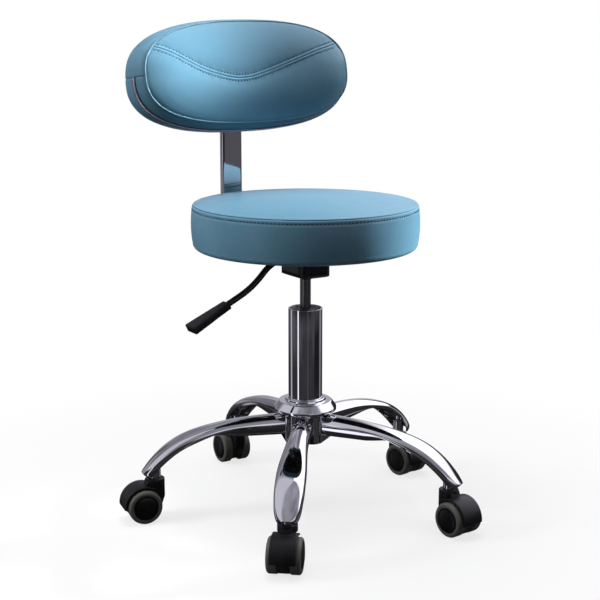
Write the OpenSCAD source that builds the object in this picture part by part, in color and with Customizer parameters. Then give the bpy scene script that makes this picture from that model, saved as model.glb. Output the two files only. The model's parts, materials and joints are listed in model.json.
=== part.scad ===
// Dentist stool: round seat and oval backrest on a gas lift and a five-leg base with twin-wheel casters.
// The origin lies on the floor under the column, +Z is up and the sitter faces -Y.

/* [Seat] */
// Diameter of the seat cushion
seat_d = 330; // [320:1:360]
// Height of the crown of the seat above the floor at rest
seat_top = 466; // [460:1:480]
// Thickness of the seat cushion, crown to underside
seat_t = 69; // [60:1:74]
// Rise of the crown above the sewn top edge
seat_crown = 7; // [4:0.5:10]
// Diameter of the plywood seat board
seat_board_d = 280; // [260:2:300]

/* [Backrest] */
// Width of the backrest cushion at its widest
pad_w = 375; // [340:1:400]
// Height of the backrest cushion at its tallest
pad_h = 167; // [150:1:180]
// Height of the middle of the backrest above the floor
pad_z = 631; // [620:1:660]
// Distance of the back face of the backrest from the column axis
pad_back = 208; // [200:1:220]
// Thickness of the backrest cushion at its crown
pad_t = 77; // [70:1:84]

/* [Back bar] */
// Width of the flat chrome tube behind the seat
bar_w = 36; // [28:1:38]
// Thickness of that tube
bar_t = 12; // [11:0.5:14]
// Inner radius of its bend under the seat
bar_bend = 24; // [18:1:30]

/* [Gas lift] */
// Outer diameter of the column tube
column_d = 50; // [50:0.5:52]
// Height of the mouth of the column tube
column_top = 307; // [300:1:312]
// Diameter of the gas cylinder
cylinder_d = 16; // [16:0.5:20]
// Lift from rest to the highest seat
lift_up = 90; // [60:1:90]
// Drop from rest to the lowest seat
lift_down = 30; // [10:1:30]

/* [Lever] */
// Diameter of the lever rod
lever_d = 9; // [7:0.5:9]
// Length of the paddle grip
grip_l = 66; // [60:1:75]
// Width of the paddle at its outer end
grip_w = 27; // [22:1:30]

/* [Base] */
// Radius of the circle that the caster stems stand on
stem_circle = 225; // [220:1:230]
// Bearing of the first leg, from +X towards +Y
leg_bearing = 231; // [0:1:359]
// Width of a leg where it is widest
leg_w = 42; // [38:1:46]
// Height of the collar's top face
collar_top = 168; // [166:1:172]

/* [Casters] */
// Diameter of a caster wheel
wheel_d = 50; // [48:1:50]
// Distance of the axle behind the stem
trail = 20; // [18:0.5:22]
// Bearing that each caster trails towards, from +X towards +Y
caster_bearings = [229, 276, 277, 87, 169];

/* [Hidden] */
$fn = 64;
LEGS = 5;

// Finishes
CHROME = [0.80, 0.81, 0.84];
STEEL = [0.58, 0.59, 0.60];
VINYL = [0.35, 0.56, 0.66];
BLACK = [0.06, 0.06, 0.065];
TYRE = [0.29, 0.29, 0.26];
PLYWOOD = [0.72, 0.57, 0.39];
BRASS = [0.72, 0.60, 0.32];

// Fits between pieces
run = 0.05;
seat_fit = 0.02;

// Seat
seat_bottom = seat_top - seat_t;
seat_r = seat_d / 2;
seat_edge_z = seat_top - seat_crown;
seat_round_h = 9;
seat_round_w = 8;
seat_side_r = seat_r - 2;
seat_edge_r = seat_r - 4;
seat_side_z0 = seat_bottom + seat_round_h;
seat_band_bulge = 2.6;
seat_arc_steps = 5;
seat_band_steps = 6;
seat_crown_steps = 8;
board_t = 12;

// Lift bracket: a stamped tray welded under a square plate
plate_t = 3;
plate_w = 150;
plate_z = seat_bottom - plate_t;
plate_corner = 14;
tray_x = 52;
tray_y = 66;
tray_h = 40;
tray_wall = 2.5;
tray_floor = 4;
tray_corner = 13;
tray_round = 10;
tray_z = plate_z - tray_h;
socket_r = 12;
socket_h = 16;

// Gas lift
column_r = column_d / 2;
column_wall = 1.8;
column_bottom = 106;
column_floor_t = 3;
column_floor_hole = 6;
cylinder_r = cylinder_d / 2;
cylinder_wall = 1.5;
cylinder_top = tray_z + 18;
cylinder_cap = 6;
taper_l = 20;
taper_in = 0.4;
bush_top = column_top - 3;
bush_l = 57;
bearing_r = 17;
bearing_h = 6;
shoulder_r = 9;
shoulder_h = 4;
shoulder_top = column_bottom + column_floor_t + bearing_h + run + shoulder_h;
foot_room = 1.5;
cylinder_bottom = shoulder_top + foot_room + lift_down;
rod_r = 3.5;
rod_clear = 0.4;
guide_l = 12;
piston_l = 10;
piston_z = cylinder_bottom + guide_l + lift_up + 10;
clip_r = 10;
clip_t = 2.4;

// Release pin and lever
pin_r = 1.5;
pin_head_r = 2.6;
pin_head_h = 5;
pin_gap = 0.9;
lever_r = lever_d / 2;
lever_z = cylinder_top + pin_head_h + pin_gap + lever_r;
pivot_x = -14;
pivot_r = 2.5;
pivot_boss_r = 6;
pivot_boss_l = 16;
lever_tip_x = 12;
lever_swell = 0.4;
lever_bend = [-54.6, lever_z];
lever_knee = [-90.1, lever_z - 36.2];
grip_slope = 26;
grip_start = 44.5;
grip_bore_l = 26;
grip_t = 12;
grip_neck_w = 18;
grip_neck_t = 10;
grip_round = 3;

// Back bar
bar_corner = 5;
bar_run_top = plate_z;
bar_front_y = 40;
bar_y = pad_back + bar_t / 2;
bar_head_z = pad_z + 32;

// Back board and backrest
pad_board_w = 290;
pad_board_h = 104;
pad_board_t = 10;
pad_gap = 0.4;
pad_power = 2.6;
pad_points = 48;
pad_crown = 19;
pad_back_round = 14;
pad_back_power = 9;
pad_draw = 6.5;
pad_side_draw = 13;
pad_draw_power = 3;
pad_swell_power = 2.4;
pad_seam = pad_t - pad_crown;
pad_lift = 8;
pad_lean = 0.15;

// Bolts
bolt_r = 3;
bolt_head_r = 6;
bolt_head_h = 4;
bolt_grip_board = 9;
plate_bolt_at = 58;
bar_bolt_y = [52, 66];
pad_bolt_z = [pad_z - 22, pad_z + 18];

// Base
hub_r = 37;
hub_flat = 33;
hub_bottom = 108;
hub_top = 149.5;
collar_r = 46.5;
collar_land_r = 39;
collar_rim_z = collar_top - 10;
collar_rim_h = 4;
collar_step_r = 30;
collar_step_h = 4;
leg_root_z = 132.5;
leg_end_z = 68.5;
leg_path = [
    [hub_flat, leg_root_z],
    [hub_flat + 95, leg_root_z],
    [stem_circle - 40, leg_root_z + 10.5],
    [stem_circle + 15, leg_end_z]
];
leg_tongue = 0.92;
leg_stations = [
    for (j = [0:14]) leg_tongue * j / 14,
    for (j = [1:5]) leg_tongue + (1 - leg_tongue) * sin(90 * j / 5)
];
leg_arc = 10;
leg_root_r = 16;
leg_root_w = 32;
leg_tip_w = 36;
leg_side = 8;
leg_crown = 5.5;
leg_dish = 9;
leg_lip = 2.5;
leg_taper = 0.42;
socket_tube_r = 8.6;
socket_tube_h = 19;
socket_bottom = 64;
socket_depth = 17;

// Casters
wheel_r = wheel_d / 2;
axle_r = 3;
axle_l = 44;
hood_body_w = 17;
hood_w = 36;
hood_inner_r = wheel_r + 2;
hood_wall = 3;
hood_r = hood_inner_r + hood_wall;
hood_edge = 2.4;
hood_sweep = 116;
hood_top = 62;
hood_cap_r = 14;
hood_cap_h = 10.5;
hood_front = 12.5;
hood_chin_z = 36;
hood_keel_z = 5;
wheel_in = hood_body_w / 2 + 0.4;
wheel_out = 23.5;
wheel_dome = 2;
core_r = 18.4;
tyre_round = 4;
stem_r = 5.5;
stem_bottom = 26;
stem_collar_r = 8;
stem_play = 0.3;

// Blends and curves
function mix(a, b, t) = a + (b - a) * t;
function ease(a, b, t) = let (s = min(1, max(0, (t - a) / (b - a)))) s * s * (3 - 2 * s);
function bezier(p, t) =
    pow(1 - t, 3) * p[0] + 3 * pow(1 - t, 2) * t * p[1] + 3 * (1 - t) * t * t * p[2] + pow(t, 3) * p[3];
function bezier_slope(p, t) =
    3 * pow(1 - t, 2) * (p[1] - p[0]) + 6 * (1 - t) * t * (p[2] - p[1]) + 3 * t * t * (p[3] - p[2]);
function unit(v) = v / norm(v);
function signed_power(v, e) = sign(v) * pow(abs(v), e);

// A closed skin over rings of equal length, each end closed by a strip of triangles
module skin(rings) {
    n = len(rings[0]);
    end = n * (len(rings) - 1);
    sides = [
        for (j = [0:len(rings) - 2], k = [0:n - 1])
            let (a = j * n + k, b = j * n + (k + 1) % n)
                each [[a, b + n, b], [a, a + n, b + n]]
    ];
    strip = [
        for (k = [0:n / 2 - 2])
            each [[k, k + 1, n - 2 - k], [k, n - 2 - k, n - 1 - k]]
    ];
    far_strip = [for (f = strip) [f[2] + end, f[1] + end, f[0] + end]];
    polyhedron(
        points = [for (ring = rings) each ring],
        faces = concat(strip, sides, far_strip),
        convexity = 6
    );
}

// A rectangle with round corners, centred
module rounded(w, h, r) {
    square([w - 2 * r, h], center = true);
    square([w, h - 2 * r], center = true);
    for (x = [-1, 1], y = [-1, 1])
        translate([x * (w / 2 - r), y * (h / 2 - r)])
            circle(r);
}

// A ring standing on height z
module ring(r_out, r_in, z, h) {
    translate([0, 0, z])
        difference() {
            cylinder(r = r_out, h = h);
            translate([0, 0, -1])
                cylinder(r = r_in, h = h + 2);
        }
}

// A cylinder lying along Y, centred on the XZ point p
module cross_pin(p, r, l) {
    translate([p[0], 0, p[1]])
        rotate([90, 0, 0])
            cylinder(r = r, h = l, center = true);
}

// Seat cushion: half outline from the axis to the axis, drawn in at the sewn top edge
seat_outline = concat(
    [[0, seat_bottom], [seat_side_r - seat_round_w, seat_bottom]],
    [for (i = [1:seat_arc_steps]) let (a = 90 * i / seat_arc_steps)
        [seat_side_r - seat_round_w * (1 - sin(a)), seat_side_z0 - seat_round_h * cos(a)]],
    [for (i = [1:seat_band_steps]) let (t = i / seat_band_steps)
        [mix(seat_side_r, seat_edge_r, t) + seat_band_bulge * sin(180 * t),
            mix(seat_side_z0, seat_edge_z, t)]],
    [for (i = [1:seat_crown_steps]) let (t = i / seat_crown_steps)
        [seat_edge_r * (1 - t), seat_edge_z + seat_crown * (1 - pow(1 - t, 2.6))]]
);

module seat_cushion() {
    color(VINYL)
        difference() {
            rotate_extrude($fn = 96)
                polygon(seat_outline);
            translate([0, 0, seat_bottom - 1])
                cylinder(d = seat_board_d + 2 * run, h = board_t + 1 + run);
        }
}

module seat_board() {
    color(PLYWOOD)
        difference() {
            translate([0, 0, seat_bottom])
                cylinder(d = seat_board_d, h = board_t);
            for (p = plate_bolt_points())
                translate([p[0], p[1], seat_bottom - 1])
                    cylinder(r = bolt_r + seat_fit, h = bolt_grip_board + 2);
        }
}

// Bolts that pass the plate: four at its corners and two through the back bar
function plate_bolt_points() = concat(
    [for (x = [-1, 1], y = [-1, 1]) [x * plate_bolt_at, y * plate_bolt_at]],
    [for (y = bar_bolt_y) [0, y]]
);

// Outside of the tray: an upright prism cut by two lying ones, which round its lower edges
module tray_block() {
    intersection() {
        translate([0, 0, tray_z])
            linear_extrude(tray_h)
                rounded(tray_x, tray_y, tray_corner);
        translate([0, 0, plate_z])
            rotate([90, 0, 0])
                linear_extrude(tray_y + 2, center = true)
                    rounded(tray_x + 0.02, 2 * tray_h, tray_round);
        translate([0, 0, plate_z])
            rotate([90, 0, 90])
                linear_extrude(tray_x + 2, center = true)
                    rounded(tray_y + 0.02, 2 * tray_h, tray_round);
    }
}

module cylinder_taper(r, z0) {
    translate([0, 0, z0])
        cylinder(r1 = r, r2 = r - taper_in, h = taper_l);
}

module lift_bracket() {
    color(BLACK)
        difference() {
            tray_block();
            difference() {
                translate([0, 0, tray_z + tray_floor])
                    linear_extrude(tray_h)
                        rounded(tray_x - 2 * tray_wall, tray_y - 2 * tray_wall, tray_corner - tray_wall);
                translate([0, 0, tray_z])
                    cylinder(r = socket_r, h = socket_h);
            }
            cylinder_taper(cylinder_r + seat_fit, cylinder_top - taper_l);
            // Slot that the lever swings in
            translate([-tray_x / 2 - 2, -lever_r - 1, lever_z - lever_r - 2])
                cube([tray_wall + 4, lever_d + 2, tray_h]);
            cross_pin([pivot_x, lever_z], pivot_r + seat_fit, tray_y + 2);
        }
}

module seat_plate() {
    color(BLACK)
        difference() {
            translate([0, 0, plate_z])
                linear_extrude(plate_t)
                    rounded(plate_w, plate_w, plate_corner);
            for (p = plate_bolt_points())
                translate([p[0], p[1], plate_z - 1])
                    cylinder(r = bolt_r + seat_fit, h = plate_t + 2);
        }
}

module bolt(grip) {
    cylinder(r = bolt_r, h = grip);
    translate([0, 0, -bolt_head_h])
        cylinder(r = bolt_head_r, h = bolt_head_h, $fn = 6);
}

module bolts() {
    color(STEEL) {
        for (x = [-1, 1], y = [-1, 1])
            translate([x * plate_bolt_at, y * plate_bolt_at, plate_z])
                bolt(plate_t + bolt_grip_board);
        for (y = bar_bolt_y)
            translate([0, y, bar_run_top - bar_t])
                bolt(bar_t + plate_t + bolt_grip_board);
        for (z = pad_bolt_z)
            translate([0, pad_back + bar_t, z])
                rotate([90, 0, 0])
                    bolt(bar_t + bolt_grip_board - 2);
    }
}

// Gas lift, from the column outwards
module column_tube() {
    color(CHROME)
        rotate_extrude()
            polygon([
                [column_floor_hole, column_bottom],
                [column_r - 1, column_bottom],
                [column_r, column_bottom + 1],
                [column_r, column_top - 0.6],
                [column_r - 0.6, column_top],
                [column_r - column_wall, column_top],
                [column_r - column_wall, column_bottom + column_floor_t],
                [column_floor_hole, column_bottom + column_floor_t]
            ]);
}

module guide_bush() {
    color(BLACK)
        ring(column_r - column_wall - seat_fit, cylinder_r + run, bush_top - bush_l, bush_l);
}

module thrust_bearing() {
    z = column_bottom + column_floor_t;
    color(STEEL)
        rotate_extrude()
            polygon([
                [rod_r + rod_clear, z],
                [bearing_r, z],
                [bearing_r, z + bearing_h / 3],
                [bearing_r - 2, z + bearing_h / 2],
                [bearing_r, z + 2 * bearing_h / 3],
                [bearing_r, z + bearing_h],
                [rod_r + rod_clear, z + bearing_h]
            ]);
}

module piston_rod() {
    color(STEEL) {
        translate([0, 0, column_bottom - clip_t - 3])
            cylinder(r = rod_r, h = piston_z + piston_l + 5 - column_bottom + clip_t);
        translate([0, 0, shoulder_top - shoulder_h])
            cylinder(r = shoulder_r, h = shoulder_h);
    }
}

module retaining_clip() {
    color(STEEL)
        ring(clip_r, rod_r + seat_fit, column_bottom - clip_t - 0.3, clip_t);
}

module piston() {
    color(BRASS)
        ring(cylinder_r - cylinder_wall - run, rod_r + seat_fit, piston_z, piston_l);
}

module rod_guide() {
    color(BLACK)
        ring(cylinder_r - cylinder_wall - seat_fit, rod_r + run, cylinder_bottom, guide_l);
}

module gas_cylinder() {
    inner_r = cylinder_r - cylinder_wall;
    color(BLACK)
        difference() {
            union() {
                translate([0, 0, cylinder_bottom])
                    cylinder(r = cylinder_r, h = cylinder_top - taper_l - cylinder_bottom);
                cylinder_taper(cylinder_r, cylinder_top - taper_l);
            }
            translate([0, 0, cylinder_bottom - 1])
                cylinder(r = inner_r, h = cylinder_top - cylinder_cap - cylinder_bottom + 1);
            translate([0, 0, cylinder_top - cylinder_cap - 1])
                cylinder(r = pin_r + run, h = cylinder_cap + 2);
        }
}

module release_pin() {
    lift = 0.4;
    color(STEEL) {
        translate([0, 0, cylinder_top - cylinder_cap - 4])
            cylinder(r = pin_r, h = cylinder_cap + 4 + lift + 1);
        translate([0, 0, cylinder_top + lift + 2.6])
            cylinder(r = pin_head_r, h = pin_head_h - lift - 2.6);
        translate([0, 0, cylinder_top + lift + 1])
            cylinder(r = pin_r, h = pin_head_h - lift - 1.5);
    }
}

// Lever
module rod_between(p, q, r) {
    d = q - p;
    translate([p[0], 0, p[1]])
        rotate([0, atan2(d[0], d[1]), 0])
            cylinder(r = r, h = norm(d));
}

lever_end = lever_knee + (grip_start + grip_bore_l) * [-cos(grip_slope), -sin(grip_slope)];

// The rod is forged at its bends, which stand a little proud of it
module lever_rod() {
    tip = [lever_tip_x, lever_z];
    color(BLACK)
        difference() {
            union() {
                rod_between(tip, lever_bend, lever_r);
                rod_between(lever_bend, lever_knee, lever_r);
                rod_between(lever_knee, lever_end, lever_r);
                for (p = [lever_bend, lever_knee])
                    translate([p[0], 0, p[1]])
                        sphere(r = lever_r + lever_swell);
                cross_pin([pivot_x, lever_z], pivot_boss_r, pivot_boss_l);
            }
            cross_pin([pivot_x, lever_z], pivot_r + run, pivot_boss_l + 2);
        }
}

module lever_pin() {
    color(STEEL)
        cross_pin([pivot_x, lever_z], pivot_r, tray_y + 3);
}

// The paddle lies along +X in its own frame and is then set on the end of the rod
module grip_end(x, w, t) {
    for (y = [-1, 1], z = [-1, 1])
        translate([x, y * (w / 2 - grip_round), z * (t / 2 - grip_round)])
            sphere(r = grip_round, $fn = 20);
}

module lever_grip() {
    color(BLACK)
        translate([lever_knee[0], 0, lever_knee[1]])
            rotate([0, 180 - grip_slope, 0])
                difference() {
                    hull() {
                        grip_end(grip_start + grip_round, grip_neck_w, grip_neck_t);
                        grip_end(grip_start + grip_l - grip_round, grip_w, grip_t);
                    }
                    translate([grip_start - 1, 0, 0])
                        rotate([0, 90, 0])
                            cylinder(r = lever_r + seat_fit, h = grip_bore_l + 1.4);
                }
}

// Back bar: flat tube with round edges, run under the seat, bent up and on to the backrest
module bar_section() {
    rounded(bar_w, bar_t, bar_corner);
}

module back_bar() {
    bend = bar_bend + bar_t / 2;
    run_z = bar_run_top - bar_t / 2;
    corner_y = bar_y - bend;
    color(CHROME)
        difference() {
            union() {
                translate([0, corner_y, run_z])
                    rotate([90, 0, 0])
                        linear_extrude(corner_y - bar_front_y)
                            bar_section();
                translate([0, corner_y, run_z + bend])
                    rotate([0, 90, 0])
                        rotate_extrude(angle = 90)
                            translate([bend, 0])
                                rotate(90)
                                    bar_section();
                translate([0, bar_y, run_z + bend])
                    linear_extrude(bar_head_z - run_z - bend)
                        bar_section();
            }
            for (y = bar_bolt_y)
                translate([0, y, run_z - bar_t])
                    cylinder(r = bolt_r + seat_fit, h = 2 * bar_t);
            for (z = pad_bolt_z)
                translate([0, bar_y + bar_t, z])
                    rotate([90, 0, 0])
                        cylinder(r = bolt_r + seat_fit, h = 2 * bar_t);
        }
}

module board_outline(grow) {
    square([pad_board_w - pad_board_h, pad_board_h + 2 * grow], center = true);
    for (x = [-1, 1])
        translate([x * (pad_board_w - pad_board_h) / 2, 0])
            circle(pad_board_h / 2 + grow);
}

module board_prism(t, grow) {
    translate([0, pad_back, pad_z])
        rotate([90, 0, 0])
            linear_extrude(t)
                board_outline(grow);
}

module back_board() {
    color(PLYWOOD)
        difference() {
            board_prism(pad_board_t, 0);
            for (z = pad_bolt_z)
                translate([0, pad_back + 1, z])
                    rotate([90, 0, 0])
                        cylinder(r = bolt_r + seat_fit, h = bolt_grip_board);
        }
}

// Backrest cushion: oval rings from the back face to the crown. The side band bulges, and the rings
// draw in at the sewn edge before the front panel swells out of it. Towards the front the rings rise
// and lean back, so that the panel looks slightly upwards.
function pad_oval(front, deep, in_x, in_z) = [
    for (k = [0:pad_points - 1])
        let (
            a = 360 * k / pad_points,
            e = 2 / pad_power,
            x = (pad_w / 2 - in_x) * signed_power(cos(a), e),
            z = (pad_h / 2 - in_z) * signed_power(sin(a), e)
        ) [x, pad_back - deep + pad_lean * z * front, pad_z + z + pad_lift * front]
];

module back_cushion() {
    band = [for (t = [0, 0.05, 0.12, 0.25, 0.45, 0.68, 0.88, 1]) let (
        edge = pad_back_round * pow(1 - t, pad_back_power),
        draw = pow(t, pad_draw_power)
    ) pad_oval(t, mix(pad_gap, pad_seam, t), edge + pad_side_draw * draw, edge + pad_draw * draw)];
    panel = [for (t = [0.12, 0.3, 0.5, 0.72, 0.9]) let (
        shrink = t * (pad_h / 2 - pad_back_round),
        deep = pad_seam + pad_crown * (1 - pow(1 - t, pad_swell_power))
    ) pad_oval(1, deep, pad_side_draw + shrink, pad_draw + shrink)];
    color(VINYL)
        difference() {
            skin(concat(band, panel));
            board_prism(pad_board_t + run, run);
        }
}

// Base
module base_hub() {
    color(CHROME)
        difference() {
            union() {
                translate([0, 0, hub_bottom])
                    cylinder(r = hub_r, h = hub_top - hub_bottom);
                rotate_extrude()
                    polygon([
                        [0, hub_top],
                        [hub_r, hub_top],
                        [collar_r, collar_rim_z - collar_rim_h],
                        [collar_r, collar_rim_z],
                        [collar_land_r, collar_top],
                        [collar_step_r, collar_top],
                        [collar_step_r - 1, collar_top + collar_step_h],
                        [0, collar_top + collar_step_h]
                    ]);
            }
            translate([0, 0, hub_bottom - 1])
                cylinder(r = column_r + seat_fit, h = collar_top + collar_step_h - hub_bottom + 2);
            for (i = [0:LEGS - 1])
                rotate(leg_bearing + i * 360 / LEGS)
                    translate([hub_flat, -hub_r, hub_bottom - 1])
                        cube([hub_r, 2 * hub_r, hub_top - hub_bottom + 0.6]);
        }
}

// One section of a leg: an arch over the top and a second arc below it, which is
// round at the hub and turns into a dish towards the end; the end is a rounded tongue
function leg_section(t) = let (
    open = ease(0.22, 0.62, t),
    tongue = max(0, (t - leg_tongue) / (1 - leg_tongue)),
    arm = mix(leg_root_w, mix(leg_w, leg_tip_w, ease(0.80, 1, t)), ease(0.25, 0.72, t)) / 2,
    half = arm * (1 - leg_taper * (1 - sqrt(1 - pow(tongue, 2)))),
    side = leg_side * open,
    top = mix(leg_root_r, leg_crown, ease(0, 0.6, t)) + side,
    dish = mix(-leg_root_r, leg_dish, open),
    lip = mix(0.8, leg_lip, open),
    power = mix(1, 0.75, open)
) concat(
    [for (i = [0:leg_arc]) let (a = 180 * i / leg_arc) [half * cos(a), top * pow(sin(a), power) - side]],
    [for (i = [leg_arc:-1:0]) let (a = 180 * i / leg_arc) [(half - lip) * cos(a), dish * sin(a) - side]]
);

// Bearing 0 of a leg points along +X
function leg_ring(t) = let (
    at = bezier(leg_path, t),
    along = unit(bezier_slope(leg_path, t)),
    up = [-along[1], along[0]]
) [for (q = leg_section(t)) [at[0] + up[0] * q[1], q[0], at[1] + up[1] * q[1]]];

module leg(i) {
    color(CHROME)
        rotate(leg_bearing + (i - 1) * 360 / LEGS)
            difference() {
                union() {
                    skin([for (t = leg_stations) leg_ring(t)]);
                    translate([stem_circle, 0, socket_bottom])
                        cylinder(r = socket_tube_r, h = socket_tube_h);
                }
                translate([stem_circle, 0, socket_bottom - 1])
                    cylinder(r = stem_r + seat_fit, h = socket_depth + 1);
            }
}

// Casters
module at_stem(i) {
    rotate(leg_bearing + (i - 1) * 360 / LEGS)
        translate([stem_circle, 0, 0])
            rotate(caster_bearings[i - 1] - leg_bearing - (i - 1) * 360 / LEGS)
                children();
}

module caster_stems() {
    color(STEEL)
        for (i = [1:LEGS])
            at_stem(i) {
                translate([0, 0, stem_bottom])
                    cylinder(r = stem_r, h = socket_bottom + socket_depth - 1 - stem_bottom);
                translate([0, 0, hood_top + stem_play])
                    cylinder(r = stem_collar_r, h = socket_bottom - hood_top - stem_play);
            }
}

// Turns a shape made round Z into one round the axle, with its +Z along +Y of the caster
module on_axle() {
    translate([trail, 0, wheel_r])
        rotate([-90, 0, 0])
            children();
}

module hood_shroud_section() {
    intersection() {
        translate([hood_inner_r, -hood_w / 2])
            square([hood_wall, hood_w]);
        union() {
            translate([hood_inner_r, -hood_w / 2])
                square([hood_wall - hood_edge, hood_w]);
            translate([hood_inner_r, hood_edge - hood_w / 2])
                square([hood_wall, hood_w - 2 * hood_edge]);
            for (s = [-1, 1])
                translate([hood_r - hood_edge, s * (hood_w / 2 - hood_edge)])
                    circle(hood_edge);
        }
    }
}

// Side view of the solid middle of the hood, in the caster's XZ plane
module hood_side() {
    polygon([
        [-hood_front, hood_top - 1],
        [-hood_front, hood_chin_z],
        [-hood_front + 4, hood_chin_z - 12],
        [trail - 14, hood_keel_z + 2],
        [trail + 14, hood_keel_z],
        [trail + hood_inner_r + 1, wheel_r + 2],
        [trail, wheel_r + 12],
        [hood_front, hood_top - 1]
    ]);
    intersection() {
        translate([trail, wheel_r])
            circle(hood_r - 1.5);
        translate([-hood_r, wheel_r + 2])
            square([4 * hood_r, 2 * hood_r]);
    }
}

module caster_hood(i) {
    color(BLACK)
        at_stem(i)
            difference() {
                union() {
                    on_axle()
                        rotate(-hood_sweep)
                            rotate_extrude(angle = hood_sweep + 2)
                                hood_shroud_section();
                    rotate([90, 0, 0])
                        linear_extrude(hood_body_w, center = true)
                            hood_side();
                    translate([0, 0, hood_top - hood_cap_h])
                        cylinder(r = hood_cap_r, h = hood_cap_h);
                }
                translate([0, 0, stem_bottom - 1])
                    cylinder(r = stem_r + run, h = hood_top);
                on_axle()
                    cylinder(r = axle_r + seat_fit, h = hood_w + 4, center = true);
            }
}

module caster_axle(i) {
    color(STEEL)
        at_stem(i)
            on_axle()
                cylinder(r = axle_r, h = axle_l, center = true);
}

// A wheel on the side s of the hood: +1 left, -1 right, seen along the trail
module wheel_core(i, s) {
    color(BLACK)
        at_stem(i)
            on_axle()
                mirror([0, 0, s > 0 ? 0 : 1])
                    difference() {
                        rotate_extrude()
                            polygon(concat(
                                [[0, wheel_in], [core_r, wheel_in]],
                                [for (k = [0:4]) let (r = core_r * (1 - k / 4))
                                    [r, wheel_out + wheel_dome * (1 - pow(r / core_r, 2))]]
                            ));
                        cylinder(r = axle_r + run, h = axle_l / 2 + 0.5);
                    }
}

module tyre(i, s) {
    color(TYRE)
        at_stem(i)
            on_axle()
                mirror([0, 0, s > 0 ? 0 : 1])
                    rotate_extrude()
                        tyre_section();
}

module tyre_section() {
    w = wheel_out - wheel_in;
    inner = core_r + seat_fit;
    translate([inner, wheel_in])
        square([wheel_r - tyre_round - inner, w]);
    translate([wheel_r - tyre_round - 0.1, wheel_in])
        square([tyre_round + 0.1, w - tyre_round]);
    translate([wheel_r - tyre_round, wheel_out - tyre_round])
        circle(tyre_round);
}

base_hub();
column_tube();
guide_bush();
thrust_bearing();
caster_stems();
piston_rod();
piston();
retaining_clip();
gas_cylinder();
rod_guide();
lift_bracket();
seat_plate();
lever_pin();
bolts();
seat_board();
seat_cushion();
back_bar();
back_board();
back_cushion();
lever_rod();
lever_grip();
release_pin();
for (i = [1:LEGS]) {
    leg(i);
    caster_hood(i);
    caster_axle(i);
    wheel_core(i, 1);
    wheel_core(i, -1);
    tyre(i, 1);
    tyre(i, -1);
}
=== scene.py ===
"""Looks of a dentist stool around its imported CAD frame: cushions, chrome, plastics and a plain studio."""

import json
import logging
import math
from collections.abc import Callable, Iterable, Sequence
from dataclasses import dataclass
from enum import Enum

import bmesh
import bpy
from bmesh.types import BMesh, BMEdge, BMVert
from bpy.types import Material, Mesh, Node, NodeSocket, Object
from mathutils import Matrix, Vector
from mathutils.geometry import interpolate_bezier


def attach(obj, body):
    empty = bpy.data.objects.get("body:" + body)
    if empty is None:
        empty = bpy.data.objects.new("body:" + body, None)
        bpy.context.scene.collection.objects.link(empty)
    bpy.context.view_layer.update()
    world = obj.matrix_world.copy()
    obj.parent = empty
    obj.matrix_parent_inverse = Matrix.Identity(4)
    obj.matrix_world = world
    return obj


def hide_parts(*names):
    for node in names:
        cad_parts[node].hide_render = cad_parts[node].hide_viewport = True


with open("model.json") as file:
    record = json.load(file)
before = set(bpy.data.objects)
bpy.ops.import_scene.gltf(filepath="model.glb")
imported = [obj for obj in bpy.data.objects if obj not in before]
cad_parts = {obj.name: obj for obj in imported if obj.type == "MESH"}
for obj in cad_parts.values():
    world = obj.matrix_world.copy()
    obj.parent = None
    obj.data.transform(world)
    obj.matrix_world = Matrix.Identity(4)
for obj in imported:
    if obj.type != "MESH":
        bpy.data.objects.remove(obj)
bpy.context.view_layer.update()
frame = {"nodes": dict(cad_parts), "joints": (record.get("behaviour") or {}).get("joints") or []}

LOG = logging.getLogger("stool")
MM = 0.001
TURN = 2 * math.pi
SAME_PLACE = 1e-6
VINYL_CLOTH = {
    "quality": 6,
    "mass": 0.35,
    "tension_stiffness": 18,
    "compression_stiffness": 18,
    "shear_stiffness": 8,
    "bending_stiffness": 1.2,
}


class Slot(str, Enum):
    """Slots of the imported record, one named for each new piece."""

    CHROME = "chrome"
    STEEL = "steel"
    PAINT = "black_paint"
    PLASTIC = "black_plastic"
    TYRE = "grey_tyre"
    VINYL = "blue_vinyl"


class Side(Enum):
    """The two wheels of a caster, by the sign of their side."""

    LEFT = 1
    RIGHT = -1


# Small maths


def mix(a: float, b: float, t: float) -> float:
    """Blend from a to b by t."""
    return a + (b - a) * t


def ease(a: float, b: float, t: float) -> float:
    """Smooth step from 0 at a to 1 at b."""
    s = min(1.0, max(0.0, (t - a) / (b - a)))
    return s * s * (3 - 2 * s)


def bell(x: float, width: float) -> float:
    """A bell curve of height 1 at 0."""
    return math.exp(-((x / width) ** 2))


def along(points: Sequence[Vector], pitch: float, closed: bool = False) -> list[tuple[Vector, Vector]]:
    """Spread places at an even pitch along a polyline.

    Args:
        points: Corners of the line.
        pitch: Wanted distance between places.
        closed: Whether the line runs back to its first corner.

    Returns:
        Each place with the unit direction of the line there.
    """
    line = [*points, points[0]] if closed else list(points)
    runs = [(b - a).length for a, b in zip(line, line[1:])]
    count = max(2, round(sum(runs) / pitch))
    step = sum(runs) / count
    found, at, k = [], 0.5 * step, 0
    passed = 0.0
    while len(found) < count and k < len(runs):
        if passed + runs[k] < at:
            passed += runs[k]
            k += 1
            continue
        way = (line[k + 1] - line[k]).normalized()
        found.append((line[k] + way * (at - passed), way))
        at += step
    return found


# Mesh helpers


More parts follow.
